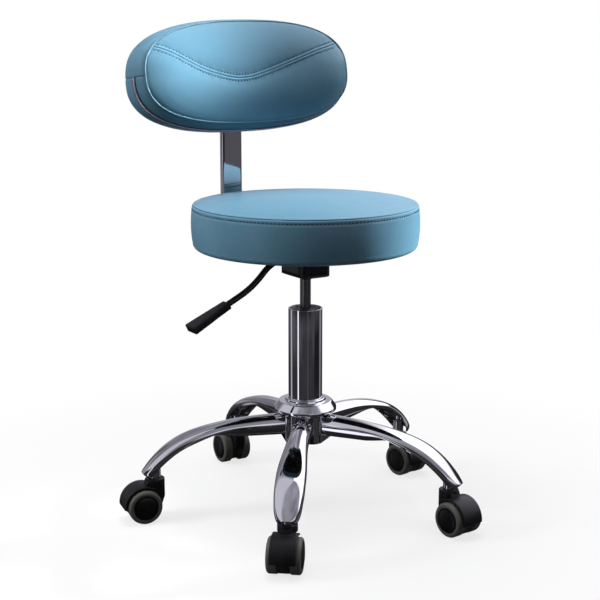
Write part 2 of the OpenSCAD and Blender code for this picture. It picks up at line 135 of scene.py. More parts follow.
def lathe(
    bm: BMesh,
    points: Sequence[tuple[float, float]],
    place: Matrix = Matrix(),
    steps: int = 96,
    closed: bool = False,
) -> None:
    """Spin a profile of (radius, height) points about Z.

    Args:
        bm: The mesh to add to.
        points: The profile, in millimetres.
        place: Where the turned shape goes.
        steps: Number of steps in the full turn.
        closed: Whether the profile is a closed section.
    """
    start = len(bm.verts)
    verts = [bm.verts.new((r * MM, 0, z * MM)) for r, z in points]
    ends = [*verts, verts[0]] if closed else verts
    geom = verts + [bm.edges.new(pair) for pair in zip(ends, ends[1:])]
    bmesh.ops.spin(bm, geom=geom, cent=(0, 0, 0), axis=(0, 0, 1), angle=TURN, steps=steps, use_merge=True)
    bm.verts.ensure_lookup_table()
    bmesh.ops.transform(bm, matrix=place, verts=bm.verts[start:])


def filleted(
    points: Sequence[tuple[float, float]], radius: float, closed: bool = True, steps: int = 5
) -> list[tuple[float, float]]:
    """Round the corners of an outline.

    Args:
        points: Corners of the outline.
        radius: How far from a corner its rounding starts, at most half of an edge.
        closed: Whether the outline is closed.
        steps: Steps in each rounding.

    Returns:
        The rounded outline.
    """
    found, count = [], len(points)
    for k, (x, z) in enumerate(points):
        if not closed and k in (0, count - 1):
            found.append((x, z))
            continue
        corner = Vector((x, z))
        before, after = Vector(points[k - 1]) - corner, Vector(points[(k + 1) % count]) - corner
        a = corner + before * min(0.5, radius / before.length)
        b = corner + after * min(0.5, radius / after.length)
        for t in (n / steps for n in range(steps + 1)):
            found.append(tuple(a.lerp(corner, t).lerp(corner.lerp(b, t), t)))
    return found


def join_ends(bm: BMesh) -> None:
    """Join the two open ends of a ring-shaped tube."""
    bmesh.ops.bridge_loops(bm, edges=[e for e in bm.edges if e.is_boundary])


def tidy(bm: BMesh) -> None:
    """Merge doubles and turn the faces outwards."""
    bmesh.ops.remove_doubles(bm, verts=bm.verts[:], dist=SAME_PLACE)
    bmesh.ops.recalc_face_normals(bm, faces=bm.faces[:])


def next_ring(bm: BMesh, ring: list[BMVert], places: Sequence[Vector]) -> list[BMVert]:
    """Extrude a closed ring of vertices and move the new ring to its places.

    Args:
        bm: The mesh that holds the ring.
        ring: The ring to extrude, in order.
        places: Where the new vertices go, in the same order.

    Returns:
        The new ring, in the same order.
    """
    edges = [bm.edges.get(pair) for pair in zip(ring, ring[1:] + ring[:1])]
    made = bmesh.ops.extrude_edge_only(bm, edges=edges)["geom"]
    fresh = {v for v in made if isinstance(v, BMVert)}
    new = [next(e.other_vert(v) for e in v.link_edges if e.other_vert(v) in fresh) for v in ring]
    for vert, place in zip(new, places):
        vert.co = place
    return new


def sweep(bm: BMesh, rings: Sequence[Sequence[Vector]], capped: bool = True) -> None:
    """Draw a closed ring out through further rings of as many points.

    Args:
        bm: The mesh to add to.
        rings: Rings of points, in metres.
        capped: Whether both ends are closed by a face.
    """
    first = ring = [bm.verts.new(p) for p in rings[0]]
    for pair in zip(ring, ring[1:] + ring[:1]):
        bm.edges.new(pair)
    for places in rings[1:]:
        ring = next_ring(bm, ring, places)
    if capped:
        bm.faces.new(first)
        bm.faces.new(ring)


def section_frames(path: Sequence[Vector], side: Vector) -> list[Matrix]:
    """Frames along a path, with X to the side, Y across it and Z along the path.

    Args:
        path: Points of the path.
        side: The direction that stays to the side all along.

    Returns:
        One matrix for each point.
    """
    frames = []
    for k, point in enumerate(path):
        way = (path[min(k + 1, len(path) - 1)] - path[max(k - 1, 0)]).normalized()
        x = (side - way * side.dot(way)).normalized()
        y = way.cross(x)
        frames.append(Matrix((x, y, way)).transposed().to_4x4())
        frames[-1].translation = point
    return frames


def tube(
    bm: BMesh, path: Sequence[Vector], radius: float, sides: int, side: Vector, closed: bool = False
) -> None:
    """Sweep a round section along a path.

    Args:
        bm: The mesh to add to.
        path: Points of the path.
        radius: Radius of the section.
        sides: Number of its sides.
        side: A direction that is never along the path.
        closed: Whether the path runs back to its start.
    """
    if closed:
        path = [path[-1], *path, path[0], path[1]]
    frames = section_frames(path, side)
    frames = frames[1:-1] if closed else frames
    angles = [TURN * k / sides for k in range(sides)]
    circle = [Vector((radius * math.cos(a), radius * math.sin(a), 0)) for a in angles]
    sweep(bm, [[m @ p for p in circle] for m in frames], capped=not closed)


def rounded_section(width: float, height: float, radius: float, steps: int) -> list[Vector]:
    """Draw a rectangle with round corners about the origin of the XY plane.

    Args:
        width: Its size along X.
        height: Its size along Y.
        radius: Radius of its corners.
        steps: Steps in each corner.

    Returns:
        Its points, in order.
    """
    points = []
    for quarter, (sx, sy) in enumerate(((1, 1), (-1, 1), (-1, -1), (1, -1))):
        x, y = sx * (width / 2 - radius), sy * (height / 2 - radius)
        for k in range(steps + 1):
            a = math.pi / 2 * (quarter + k / steps)
            points.append(Vector((x + radius * math.cos(a), y + radius * math.sin(a), 0)))
    return points


def block(bm: BMesh, size: Sequence[float], place: Matrix, chamfer: float) -> None:
    """Add a box with chamfered edges.

    Args:
        bm: The mesh to add to.
        size: Lengths of its sides.
        place: Where its middle goes.
        chamfer: How far its edges are cut back.
    """
    made = bmesh.ops.create_cube(bm, size=1, matrix=place @ Matrix.Diagonal((*size, 1)))
    edges = list({e for v in made["verts"] for e in v.link_edges})
    bmesh.ops.bevel(bm, geom=edges, offset=chamfer, affect="EDGES", segments=1, profile=0.5, material=-1)


def stitch(bm: BMesh, at: Vector, way: Vector, normal: Vector, length: float, thick: float) -> None:
    """Add one stitch, a slim bead lying along the seam.

    Args:
        bm: The mesh to add to.
        at: Middle of the stitch.
        way: Unit direction of the seam.
        normal: Direction out of the cover.
        length: Length of the stitch.
        thick: Its thickness.
    """
    across = normal.cross(way).normalized()
    place = Matrix((way * length, across * thick, normal.normalized() * thick)).transposed().to_4x4()
    place.translation = at
    bmesh.ops.create_icosphere(bm, subdivisions=1, radius=0.5, matrix=place)


# Finishes


class Graph:
    """A node material under construction."""

    def __init__(self, name: str) -> None:
        """Start a material with its principled shader.

        Args:
            name: Name of the material.
        """
        self.material: Material = bpy.data.materials.new(name)
        self.material.use_nodes = True
        self.tree = self.material.node_tree
        self.shader: Node = self.tree.nodes["Principled BSDF"]
        self.place: NodeSocket = self.add("ShaderNodeTexCoord").outputs["Object"]

    def add(self, kind: str, inputs: dict | None = None, **settings: object) -> Node:
        """Add a node.

        Args:
            kind: Node type.
            inputs: Values or sockets by input name or number.
            settings: Properties of the node.

        Returns:
            The new node.
        """
        node = self.tree.nodes.new(kind)
        for key, value in settings.items():
            setattr(node, key, value)
        for key, value in (inputs or {}).items():
            self.feed(node.inputs[key], value)
        return node

    def feed(self, socket: NodeSocket, value: object) -> None:
        """Link a socket, or set its value.

        Args:
            socket: The input to feed.
            value: Another node's output, or a plain value.
        """
        if isinstance(value, NodeSocket):
            self.tree.links.new(value, socket)
        else:
            socket.default_value = value

    def set(self, **values: object) -> None:
        """Feed the principled shader's inputs, with _ for a space."""
        for key, value in values.items():
            self.feed(self.shader.inputs[key.replace("_", " ")], value)

    def noise(
        self, scale: float, detail: float = 3, rough: float = 0.5, place: NodeSocket | None = None
    ) -> NodeSocket:
        """Noise of a scale per metre."""
        inputs = {"Vector": place or self.place, "Scale": scale, "Detail": detail, "Roughness": rough}
        return self.add("ShaderNodeTexNoise", inputs).outputs["Fac"]

    def stretched(self, scale: Sequence[float]) -> NodeSocket:
        """Object coordinates stretched by a scale."""
        return self.add("ShaderNodeMapping", {"Vector": self.place, "Scale": scale}).outputs["Vector"]

    def fit(
        self, value: NodeSocket, low: float, high: float, start: float = 0.3, end: float = 0.7
    ) -> NodeSocket:
        """Map a value from start..end to low..high."""
        inputs = {"Value": value, "From Min": start, "From Max": end, "To Min": low, "To Max": high}
        return self.add("ShaderNodeMapRange", inputs).outputs["Result"]

    def blend(self, factor: NodeSocket, a: object, b: object) -> NodeSocket:
        """Blend two colours by a factor."""
        node = self.add("ShaderNodeMix", {0: factor, 6: a, 7: b}, data_type="RGBA")
        return node.outputs[2]

    def maths(self, operation: str, a: object, b: object) -> NodeSocket:
        """Combine two numbers."""
        return self.add("ShaderNodeMath", {0: a, 1: b}, operation=operation).outputs["Value"]

    def bump(
        self, height: NodeSocket, strength: float, distance: float, under: NodeSocket | None = None
    ) -> NodeSocket:
        """Make a bump from a height.

        Args:
            height: The height.
            strength: How much of the bump shows.
            distance: Its depth in metres.
            under: Another bump that it lies on.

        Returns:
            The bumped normal.
        """
        inputs = {"Height": height, "Strength": strength, "Distance": distance}
        if under is not None:
            inputs["Normal"] = under
        return self.add("ShaderNodeBump", inputs).outputs["Normal"]


def shade(color: Sequence[float], factor: float) -> tuple[float, float, float, float]:
    """A colour made darker or lighter, with full cover."""
    return (color[0] * factor, color[1] * factor, color[2] * factor, 1.0)


@dataclass(frozen=True)
class Vinyl:
    """Glossy upholstery vinyl with a fine pressed grain."""

    name: str = "blue_vinyl"
    color: tuple[float, float, float] = (0.113, 0.262, 0.370)
    grain: float = 620.0
    gloss: float = 0.40

    def material(self) -> Material:
        """Mix the vinyl, with painted shade in marked grooves and folds and a painted highlight on marked
        ridges.

        Returns:
            The material.
        """
        g = Graph(self.name)
        crease = g.add("ShaderNodeAttribute", attribute_name="crease").outputs["Fac"]
        cells = g.add("ShaderNodeTexVoronoi", {"Vector": g.place, "Scale": self.grain}, feature="SMOOTH_F1")
        pores = g.noise(self.grain * 2.6, 2)
        broad = g.noise(9, 4, 0.6)
        tone = g.blend(g.fit(broad, 0, 1), shade(self.color, 0.97), shade(self.color, 1.03))
        tone = g.blend(g.fit(cells.outputs["Distance"], 0, 0.22, 0.1, 0.7), tone, shade(self.color, 0.72))
        # painted highlight: below 0 on the marked ridges the vinyl turns paler
        tone = g.blend(g.fit(crease, 0, 1, 0, -1), tone, shade(self.color, 1.75))
        # painted shade: the marked grooves and folds turn dark
        g.set(Base_Color=g.blend(g.fit(crease, 0, 1, 0, 1), tone, shade(self.color, 0.32)))
        g.set(Roughness=g.fit(g.noise(55, 3), self.gloss - 0.02, self.gloss + 0.02))
        g.set(Specular_IOR_Level=0.5, Coat_Weight=0.10, Coat_Roughness=0.24)
        fine = g.bump(pores, 0.10, 0.0002)
        g.set(Normal=g.bump(cells.outputs["Distance"], 0.16, 0.0005, fine))
        return g.material


@dataclass(frozen=True)
class Chrome:
    """Polished chrome plate with faint polishing marks."""

    name: str = "polished_chrome"
    color: tuple[float, float, float] = (0.74, 0.74, 0.77)
    rough: float = 0.03

    def material(self) -> Material:
        """Mix the chrome.

        Returns:
            The material.
        """
        g = Graph(self.name)
        haze = g.noise(26, 4, 0.6)
        marks = g.noise(90, 2, 0.5, g.stretched((1, 1, 7)))
        g.set(Base_Color=g.blend(g.fit(haze, 0, 1), shade(self.color, 0.94), shade(self.color, 1.04)))
        g.set(Metallic=1.0, Roughness=g.fit(marks, self.rough, self.rough + 0.025))
        g.set(Normal=g.bump(haze, 0.004, 0.002))
        return g.material


@dataclass(frozen=True)
class Plastic:
    """Moulded black plastic with a spark-eroded grain."""

    name: str = "grained_plastic"
    color: tuple[float, float, float] = (0.006, 0.006, 0.007)
    rough: float = 0.42
    grain: float = 1500.0
    depth: float = 0.22

    def material(self) -> Material:
        """Mix the plastic, a little paler where hands and feet rub it.

        Returns:
            The material.
        """
        g = Graph(self.name)
        grain = g.noise(self.grain, 2)
        rub = g.noise(38, 5, 0.65)
        worn = g.fit(rub, 0, 1, 0.45, 0.75)
        g.set(Base_Color=g.blend(worn, shade(self.color, 0.9), shade(self.color, 1.7)))
        g.set(Roughness=g.fit(rub, self.rough - 0.06, self.rough + 0.08))
        g.set(Specular_IOR_Level=0.35, Normal=g.bump(grain, self.depth, 0.0003))
        return g.material


@dataclass(frozen=True)
class Tyre:
    """Grey thermoplastic tread, matt with floor dust in its pores."""

    name: str = "grey_tread"
    color: tuple[float, float, float] = (0.098, 0.096, 0.084)

    def material(self) -> Material:
        """Mix the tread.

        Returns:
            The material.
        """
        g = Graph(self.name)
        dust = g.noise(60, 5, 0.7)
        g.set(Base_Color=g.blend(g.fit(dust, 0, 1), shade(self.color, 0.85), shade(self.color, 1.35)))
        g.set(Roughness=g.fit(dust, 0.42, 0.62))
        g.set(Normal=g.bump(g.noise(1100, 2), 0.12, 0.0003))
        return g.material


@dataclass(frozen=True)
class Paint:
    """Satin black powder coat with orange peel."""

    name: str = "powder_coat"
    color: tuple[float, float, float] = (0.009, 0.009, 0.0098)
    rough: float = 0.33

    def material(self) -> Material:
        """Mix the powder coat.

        Returns:
            The material.
        """
        g = Graph(self.name)
        peel = g.noise(420, 2)
        wear = g.noise(70, 4, 0.6)
        g.set(Base_Color=g.blend(g.fit(wear, 0, 1, 0.5, 0.8), shade(self.color, 1.0), shade(self.color, 2.2)))
        g.set(Roughness=g.fit(wear, self.rough - 0.05, self.rough + 0.09))
        g.set(Normal=g.bump(peel, 0.10, 0.0006))
        return g.material


@dataclass(frozen=True)
class Turned:
    """Bare metal with fine turning marks round Z."""

    name: str
    color: tuple[float, float, float]
    rough: float = 0.28
    depth: float = 0.06

    def material(self) -> Material:
        """Mix the metal.

        Returns:
            The material.
        """
        g = Graph(self.name)
        lines = g.noise(160, 3, 0.6, g.stretched((1, 1, 24)))
        stain = g.noise(45, 4, 0.6)
        g.set(Base_Color=g.blend(g.fit(stain, 0, 1), shade(self.color, 0.82), shade(self.color, 1.06)))
        g.set(Metallic=1.0, Roughness=g.fit(lines, self.rough - 0.06, self.rough + 0.12))
        g.set(Normal=g.bump(lines, self.depth, 0.0004))
        return g.material


@dataclass(frozen=True)
class Plywood:
    """Plywood stained nearly black: long face grain, and thin plies on the edges."""

    name: str = "stained_plywood"
    color: tuple[float, float, float] = (0.030, 0.026, 0.023)

    def material(self) -> Material:
        """Mix the plywood.

        Returns:
            The material.
        """
        g = Graph(self.name)
        grain = g.noise(60, 6, 0.6, g.stretched((0.08, 1, 0.4)))
        waves = {"Vector": g.stretched((0.35, 1, 6)), "Scale": 30}
        waves |= {"Distortion": 4, "Detail": 3, "Detail Scale": 1.5}
        rings = g.add("ShaderNodeTexWave", waves).outputs["Fac"]
        tone = g.blend(g.fit(grain, 0, 1), shade(self.color, 0.74), shade(self.color, 1.12))
        g.set(Base_Color=g.blend(g.fit(rings, 0, 0.35, 0.2, 1), tone, shade(self.color, 0.62)))
        g.set(Roughness=g.fit(grain, 0.55, 0.72), Normal=g.bump(grain, 0.2, 0.0004))
        return g.material


@dataclass(frozen=True)
class Thread:
    """Twisted sewing thread or woven tape of one colour."""

    name: str
    color: tuple[float, float, float]
    twist: float = 1400.0

    def material(self) -> Material:
        """Mix the thread.

        Returns:
            The material.
        """
        g = Graph(self.name)
        ply = g.noise(self.twist, 3, 0.6)
        g.set(Base_Color=g.blend(g.fit(ply, 0, 1), shade(self.color, 0.65), shade(self.color, 1.25)))
        g.set(Roughness=g.fit(ply, 0.6, 0.8), Sheen_Weight=0.2, Normal=g.bump(ply, 0.3, 0.0003))
        return g.material


@dataclass
class Finishes:
    """All finishes of the stool, each made once."""

    def __post_init__(self) -> None:
        """Make the materials."""
        self.vinyl = Vinyl().material()
        # the welt's vinyl is paler than the cover: a painted highlight along the welt
        self.welt = Vinyl("welt_vinyl_painted_highlight", (0.20, 0.39, 0.48), 900.0, 0.36).material()
        self.chrome = Chrome().material()
        self.plastic = Plastic().material()
        self.cap = Plastic("smooth_plastic", (0.005, 0.005, 0.006), 0.34, 900.0, 0.08).material()
        self.tyre = Tyre().material()
        self.paint = Paint().material()
        self.steel = Turned("turned_steel", (0.46, 0.46, 0.47)).material()
        self.blacked = Turned("blacked_steel", (0.23, 0.23, 0.24), 0.30, 0.015).material()
        self.brass = Turned("turned_brass", (0.60, 0.42, 0.16), 0.24).material()
        self.plywood = Plywood().material()
        self.thread = Thread("dark_thread", (0.007, 0.020, 0.030)).material()
        self.zip = Thread("zip_coil", (0.80, 0.74, 0.88), 900.0).material()


@dataclass
class Assembly:
    """A sub-assembly: it builds its pieces, and hands each to its body."""

    finishes: Finishes

    def add(
        self,
        name: str,
        bm: BMesh,
        finish: Material,
        body: str,
        slot: Slot,
        replaces: Iterable[str] = (),
        crisp: float = 35,
    ) -> Object:
        """Turn a bmesh into a finished piece.

        Args:
            name: Name of the piece.
            bm: Its mesh, which is freed.
            finish: Its material.
            body: The body it rides on.
            slot: The record's slot of its finish; not used.
            replaces: CAD nodes that it stands for.
            crisp: Angle in degrees above which an edge stays sharp.

        Returns:
            The new object, at the origin.
        """
        tidy(bm)
        mesh = bpy.data.meshes.new(name)
        bm.to_mesh(mesh)
        bm.free()
        mesh.shade_smooth()
        mesh.set_sharp_from_angle(angle=math.radians(crisp))
        mesh.materials.append(finish)
        piece = bpy.data.objects.new(name, mesh)
        bpy.context.scene.collection.objects.link(piece)
        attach(piece, body)
        if replaces:
            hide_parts(*replaces)
        LOG.info("%s on %s: %d faces", name, body, len(mesh.polygons))
        return piece

    def dress(self, finish: Material, nodes: Iterable[str]) -> None:
        """Give CAD nodes a finish.

        Args:
            finish: The material.
            nodes: Names of the nodes.
        """
        for name in nodes:
            mesh = frame["nodes"][name].data
            mesh.materials.clear()
            mesh.materials.append(finish)
            LOG.info("%s dressed", name)


@dataclass
class Padding(Assembly):
    """A cushion whose cover is blown up by cloth pressure."""

    voxel: float = 5 * MM
    pressure: float = 4.0
    frames: int = 20
    cap: float = 4 * MM
    give: float = 0.85

    def swell(self, piece: Object, held: Callable[[Vector], bool], free: Callable[[Vector], float]) -> None:
        """Blow a remeshed copy of the cover up, no point further than the cap, and draw the cover on to it.

        Args:
            piece: The cover.
            held: Tells whether a point of the copy is sewn or glued fast.
            free: How far a point of the cover follows the copy, 0 to 1.
        """
        pad = bpy.data.objects.new("pad_copy", piece.data.copy())
        bpy.context.scene.collection.objects.link(pad)
        self.close(pad.data)
        remesh = pad.modifiers.new("even", "REMESH")
        remesh.mode, remesh.voxel_size = "VOXEL", self.voxel
        self.apply(pad)
        start = [v.co.copy() for v in pad.data.vertices]
        pins = pad.vertex_groups.new(name="sewn")
        pins.add([k for k, p in enumerate(start) if held(p)], 1.0, "REPLACE")
        cloth = pad.modifiers.new("cloth", "CLOTH")
        for setting, value in VINYL_CLOTH.items():
            setattr(cloth.settings, setting, value)
        cloth.settings.vertex_group_mass = "sewn"
        cloth.settings.use_pressure = True
        cloth.settings.uniform_pressure_force = self.pressure
        cloth.settings.effector_weights.gravity = 0
        cloth.collision_settings.use_collision = False
        cloth.point_cache.frame_start, cloth.point_cache.frame_end = 1, self.frames
        for k in range(1, self.frames + 1):
            bpy.context.scene.frame_set(k)
        self.apply(pad)
        bpy.context.scene.frame_set(1)
        for v, was in zip(pad.data.vertices, start):
            way = v.co - was
            v.co = was + way * min(1.0, self.cap / max(way.length, SAME_PLACE))
        soft = pad.modifiers.new("soft", "SMOOTH")
        soft.factor, soft.iterations = 0.5, 6
        fine = pad.modifiers.new("fine", "SUBSURF")
        fine.levels = fine.render_levels = 1
        self.apply(pad)
        follow = piece.vertex_groups.new(name="follow")
        for v in piece.data.vertices:
            follow.add([v.index], free(v.co), "REPLACE")
        wrap = piece.modifiers.new("wrap", "SHRINKWRAP")
        wrap.target, wrap.wrap_method, wrap.vertex_group = pad, "NEAREST_SURFACEPOINT", "follow"
        self.apply(piece)
        bpy.data.objects.remove(pad)

    def close(self, mesh: Mesh) -> None:
        """Fill the opening of a mesh, so that it holds air.

        Args:
            mesh: The mesh, which is changed.
        """
        bm = bmesh.new()
        bm.from_mesh(mesh)
        bmesh.ops.holes_fill(bm, edges=[e for e in bm.edges if e.is_boundary], sides=0)
        bmesh.ops.recalc_face_normals(bm, faces=bm.faces[:])
        bm.to_mesh(mesh)
        bm.free()

    def apply(self, piece: Object) -> None:
        """Bake an object's modifiers into its mesh.

        Args:
            piece: The object, which is left without modifiers.
        """
        mesh = bpy.data.meshes.new_from_object(piece.evaluated_get(bpy.context.evaluated_depsgraph_get()))
        piece.modifiers.clear()
        piece.data = mesh

    def mark(self, piece: Object, depth: Callable[[Vector], float]) -> None:
        """Write each point's painted shade, or painted highlight below 0, for the finish.

        Args:
            piece: The cover.
            depth: Gives the painted shade at a point, 0 to 1, or below 0 for a painted highlight on a ridge.
        """
        # painted shade and painted highlight, stored per point for the vinyl
        layer = piece.data.attributes.new("crease", "FLOAT", "POINT")
        for v, item in zip(piece.data.vertices, layer.data):
            item.value = depth(v.co)


@dataclass
class SeatPad(Padding):
    """The round seat: cover with a sewn top edge, hem and staples, on its plywood board."""

    radius: float = 165.0
    bottom: float = 397.0
    seam_z: float = 459.4
    seam_r: float = 161.2
    crown: float = 6.6
    board_r: float = 140.0
    foot_r: float = 154.0
    foot_w: float = 8.6
    foot_h: float = 9.0
    bulge: float = 2.1
    stitch_r: float = 162.55
    stitch_z: float = 454.6
    stitch_pitch: float = 5.6
    staples: int = 44
    staple_r: float = 134.0

    def build(self) -> None:
        """Build the seat's pieces."""
        cover = self.cover()
        self.swell(cover, self.is_sewn, self.follows)
        self.pucker(cover)
        # painted shade in the seat's fold and stitch line, written for the vinyl
        self.mark(cover, self.crease_at)
        self.stitches()
        self.hem()
        self.dress(self.finishes.plywood, ["seat_board"])

    def profile(self) -> list[tuple[float, float]]:
        """Draw half the outline of the cover, from under the board's edge to the crown.

        Returns:
            Points of (radius, height), in millimetres.
        """
        low, seam_r, seam_z = self.bottom, self.seam_r, self.seam_z
        under = [(self.board_r + 0.3, low + 1.2), (self.board_r + 0.3, low)]
        under += [(r, low) for r in (144, 148, 152)]
        for a in (math.pi / 20 * k for k in range(1, 11)):
            rise = low + self.foot_h - self.foot_h * math.cos(a)
            under.append((self.foot_r + self.foot_w * math.sin(a), rise))
        band = []
        for k in range(1, 26):
            t = k / 26
            z = mix(low + self.foot_h, seam_z - 1.2, t)
            r = mix(self.foot_r + self.foot_w, seam_r + 1.3, t) + self.bulge * math.sin(math.pi * t) ** 0.8
            band.append((r - 0.9 * bell(z - self.stitch_z, 1.3), z))
        fold = ((1.1, -0.8), (0.2, -0.4), (-0.6, 0), (-0.1, 0.5), (-0.2, 1.0), (-1.0, 1.5))
        edge = [(seam_r + r, seam_z + z) for r, z in fold]
        top = []
        for k in range(1, 41):
            t = (k / 40) ** 1.5
            top.append(((seam_r - 1.0) * (1 - t), seam_z + 1.5 + (self.crown - 1.5) * (1 - (1 - t) ** 2.4)))
        return under + band + edge + top

    def cover(self) -> Object:
        """Spin the cover.

        Returns:
            The cover, which stands for the seat cushion.
        """
        bm = bmesh.new()
        lathe(bm, self.profile(), steps=480)
        vinyl = self.finishes.vinyl
        piece = self.add("seat_cover", bm, vinyl, "seat", Slot.VINYL, ["seat_cushion"], crisp=60)
        return piece

    def is_sewn(self, p: Vector) -> bool:
        """Tell whether a point is on the board or in the sewn edge."""
        near_seam = abs(p.z - self.seam_z * MM) < 5 * MM and math.hypot(p.x, p.y) > (self.seam_r - 5) * MM
        return p.z < (self.bottom + 8) * MM or near_seam

    def follows(self, p: Vector) -> float:
        """Let the cover follow the swelling away from seam and board.

        Args:
            p: A point of the cover.

        Returns:
            The share of the swelling that it takes.
        """
        r = math.hypot(p.x, p.y)
        from_seam = math.hypot(r - self.seam_r * MM, p.z - self.seam_z * MM)
        off_board = ease((self.bottom + 4) * MM, (self.bottom + 14) * MM, p.z)
        return self.give * ease(5 * MM, 22 * MM, from_seam) * off_board

    def pucker(self, piece: Object) -> None:
        """Gather the band and the top slightly at each stitch.

        Args:
            piece: The cover, which is changed.
        """
        waves = round(TURN * self.radius / self.stitch_pitch)
        for v in piece.data.vertices:
            r, z = math.hypot(v.co.x, v.co.y) / MM, v.co.z / MM
            if r < self.seam_r - 14 or z < self.bottom + 30:
                continue
            a = math.atan2(v.co.y, v.co.x)
            slow = 0.5 + 0.5 * math.sin(3 * a + 1.1) * math.sin(7 * a)
            if z < self.seam_z:
                near = math.exp(-abs(z - self.stitch_z) / 5)
            else:
                near = 0.5 * math.exp(-abs(r - self.seam_r) / 4)
            fine = 0.22 * near * math.cos(waves * a)
            broad = 0.35 * slow * near * math.sin(waves / 6 * a + 5 * math.sin(2 * a))
            shift = fine + broad
            v.co.x += shift * MM * math.cos(a)
            v.co.y += shift * MM * math.sin(a)

    def crease_at(self, p: Vector) -> float:
        """Mark painted shade in the seam's fold and along the stitch line.

        Args:
            p: A point of the cover.

        Returns:
            How much painted shade it takes, 0 to 1.
        """
        r, z = math.hypot(p.x, p.y) / MM, p.z / MM
        # painted shade in the seam's fold and along the stitch line
        fold = 0.7 * bell(math.hypot(r - self.seam_r + 0.5, z - self.seam_z), 0.6)
        line = 0.2 * bell(z - self.stitch_z, 0.9) if r > self.seam_r else 0.0
        return min(1.0, fold + line)

    def stitches(self) -> None:
        """Lay the row of stitches under the sewn edge."""
        bm = bmesh.new()
        start = Vector((self.stitch_r * MM, 0, self.stitch_z * MM))
        ring = [Matrix.Rotation(TURN * k / 360, 3, "Z") @ start for k in range(360)]
        for at, way in along(ring, self.stitch_pitch * MM, closed=True):
            out = Vector((at.x, at.y, 0)).normalized()
            slant = (way + Vector((0, 0, 0.28))).normalized()
            stitch(bm, at, slant, out, 4.3 * MM, 1.5 * MM)
        self.add("seat_stitches", bm, self.finishes.thread, "seat", Slot.VINYL, crisp=80)

    def hem(self) -> None:
        """Fold the cover's hem under the board and staple it down."""
        low, flat = self.bottom, self.bottom - 1.1
        profile = [(126, low), (126.4, low - 0.9), (128, flat), (139, flat), (146, low - 0.8), (150, low)]
        bm = bmesh.new()
        lathe(bm, profile, steps=180, closed=True)
        for v in bm.verts:
            a = math.atan2(v.co.y, v.co.x)
            if math.hypot(v.co.x, v.co.y) < 130 * MM:
                grow = 1 + 0.012 * math.sin(23 * a) + 0.008 * math.sin(41 * a + 1)
                v.co.x, v.co.y = v.co.x * grow, v.co.y * grow
        self.add("seat_hem", bm, self.finishes.vinyl, "seat", Slot.VINYL, crisp=60)
        staples = bmesh.new()
        for k in range(self.staples):
            turn = Matrix.Rotation(TURN * k / self.staples, 4, "Z")
            spot = Matrix.Translation((self.staple_r * MM, 0, (low - 1.3) * MM))
            skew = Matrix.Rotation(math.radians(70 + 9 * math.sin(5 * k)), 4, "Z")
            block(staples, (11 * MM, 1.2 * MM, 0.7 * MM), turn @ spot @ skew, 0.25 * MM)
        self.add("seat_staples", staples, self.finishes.steel, "seat", Slot.STEEL)


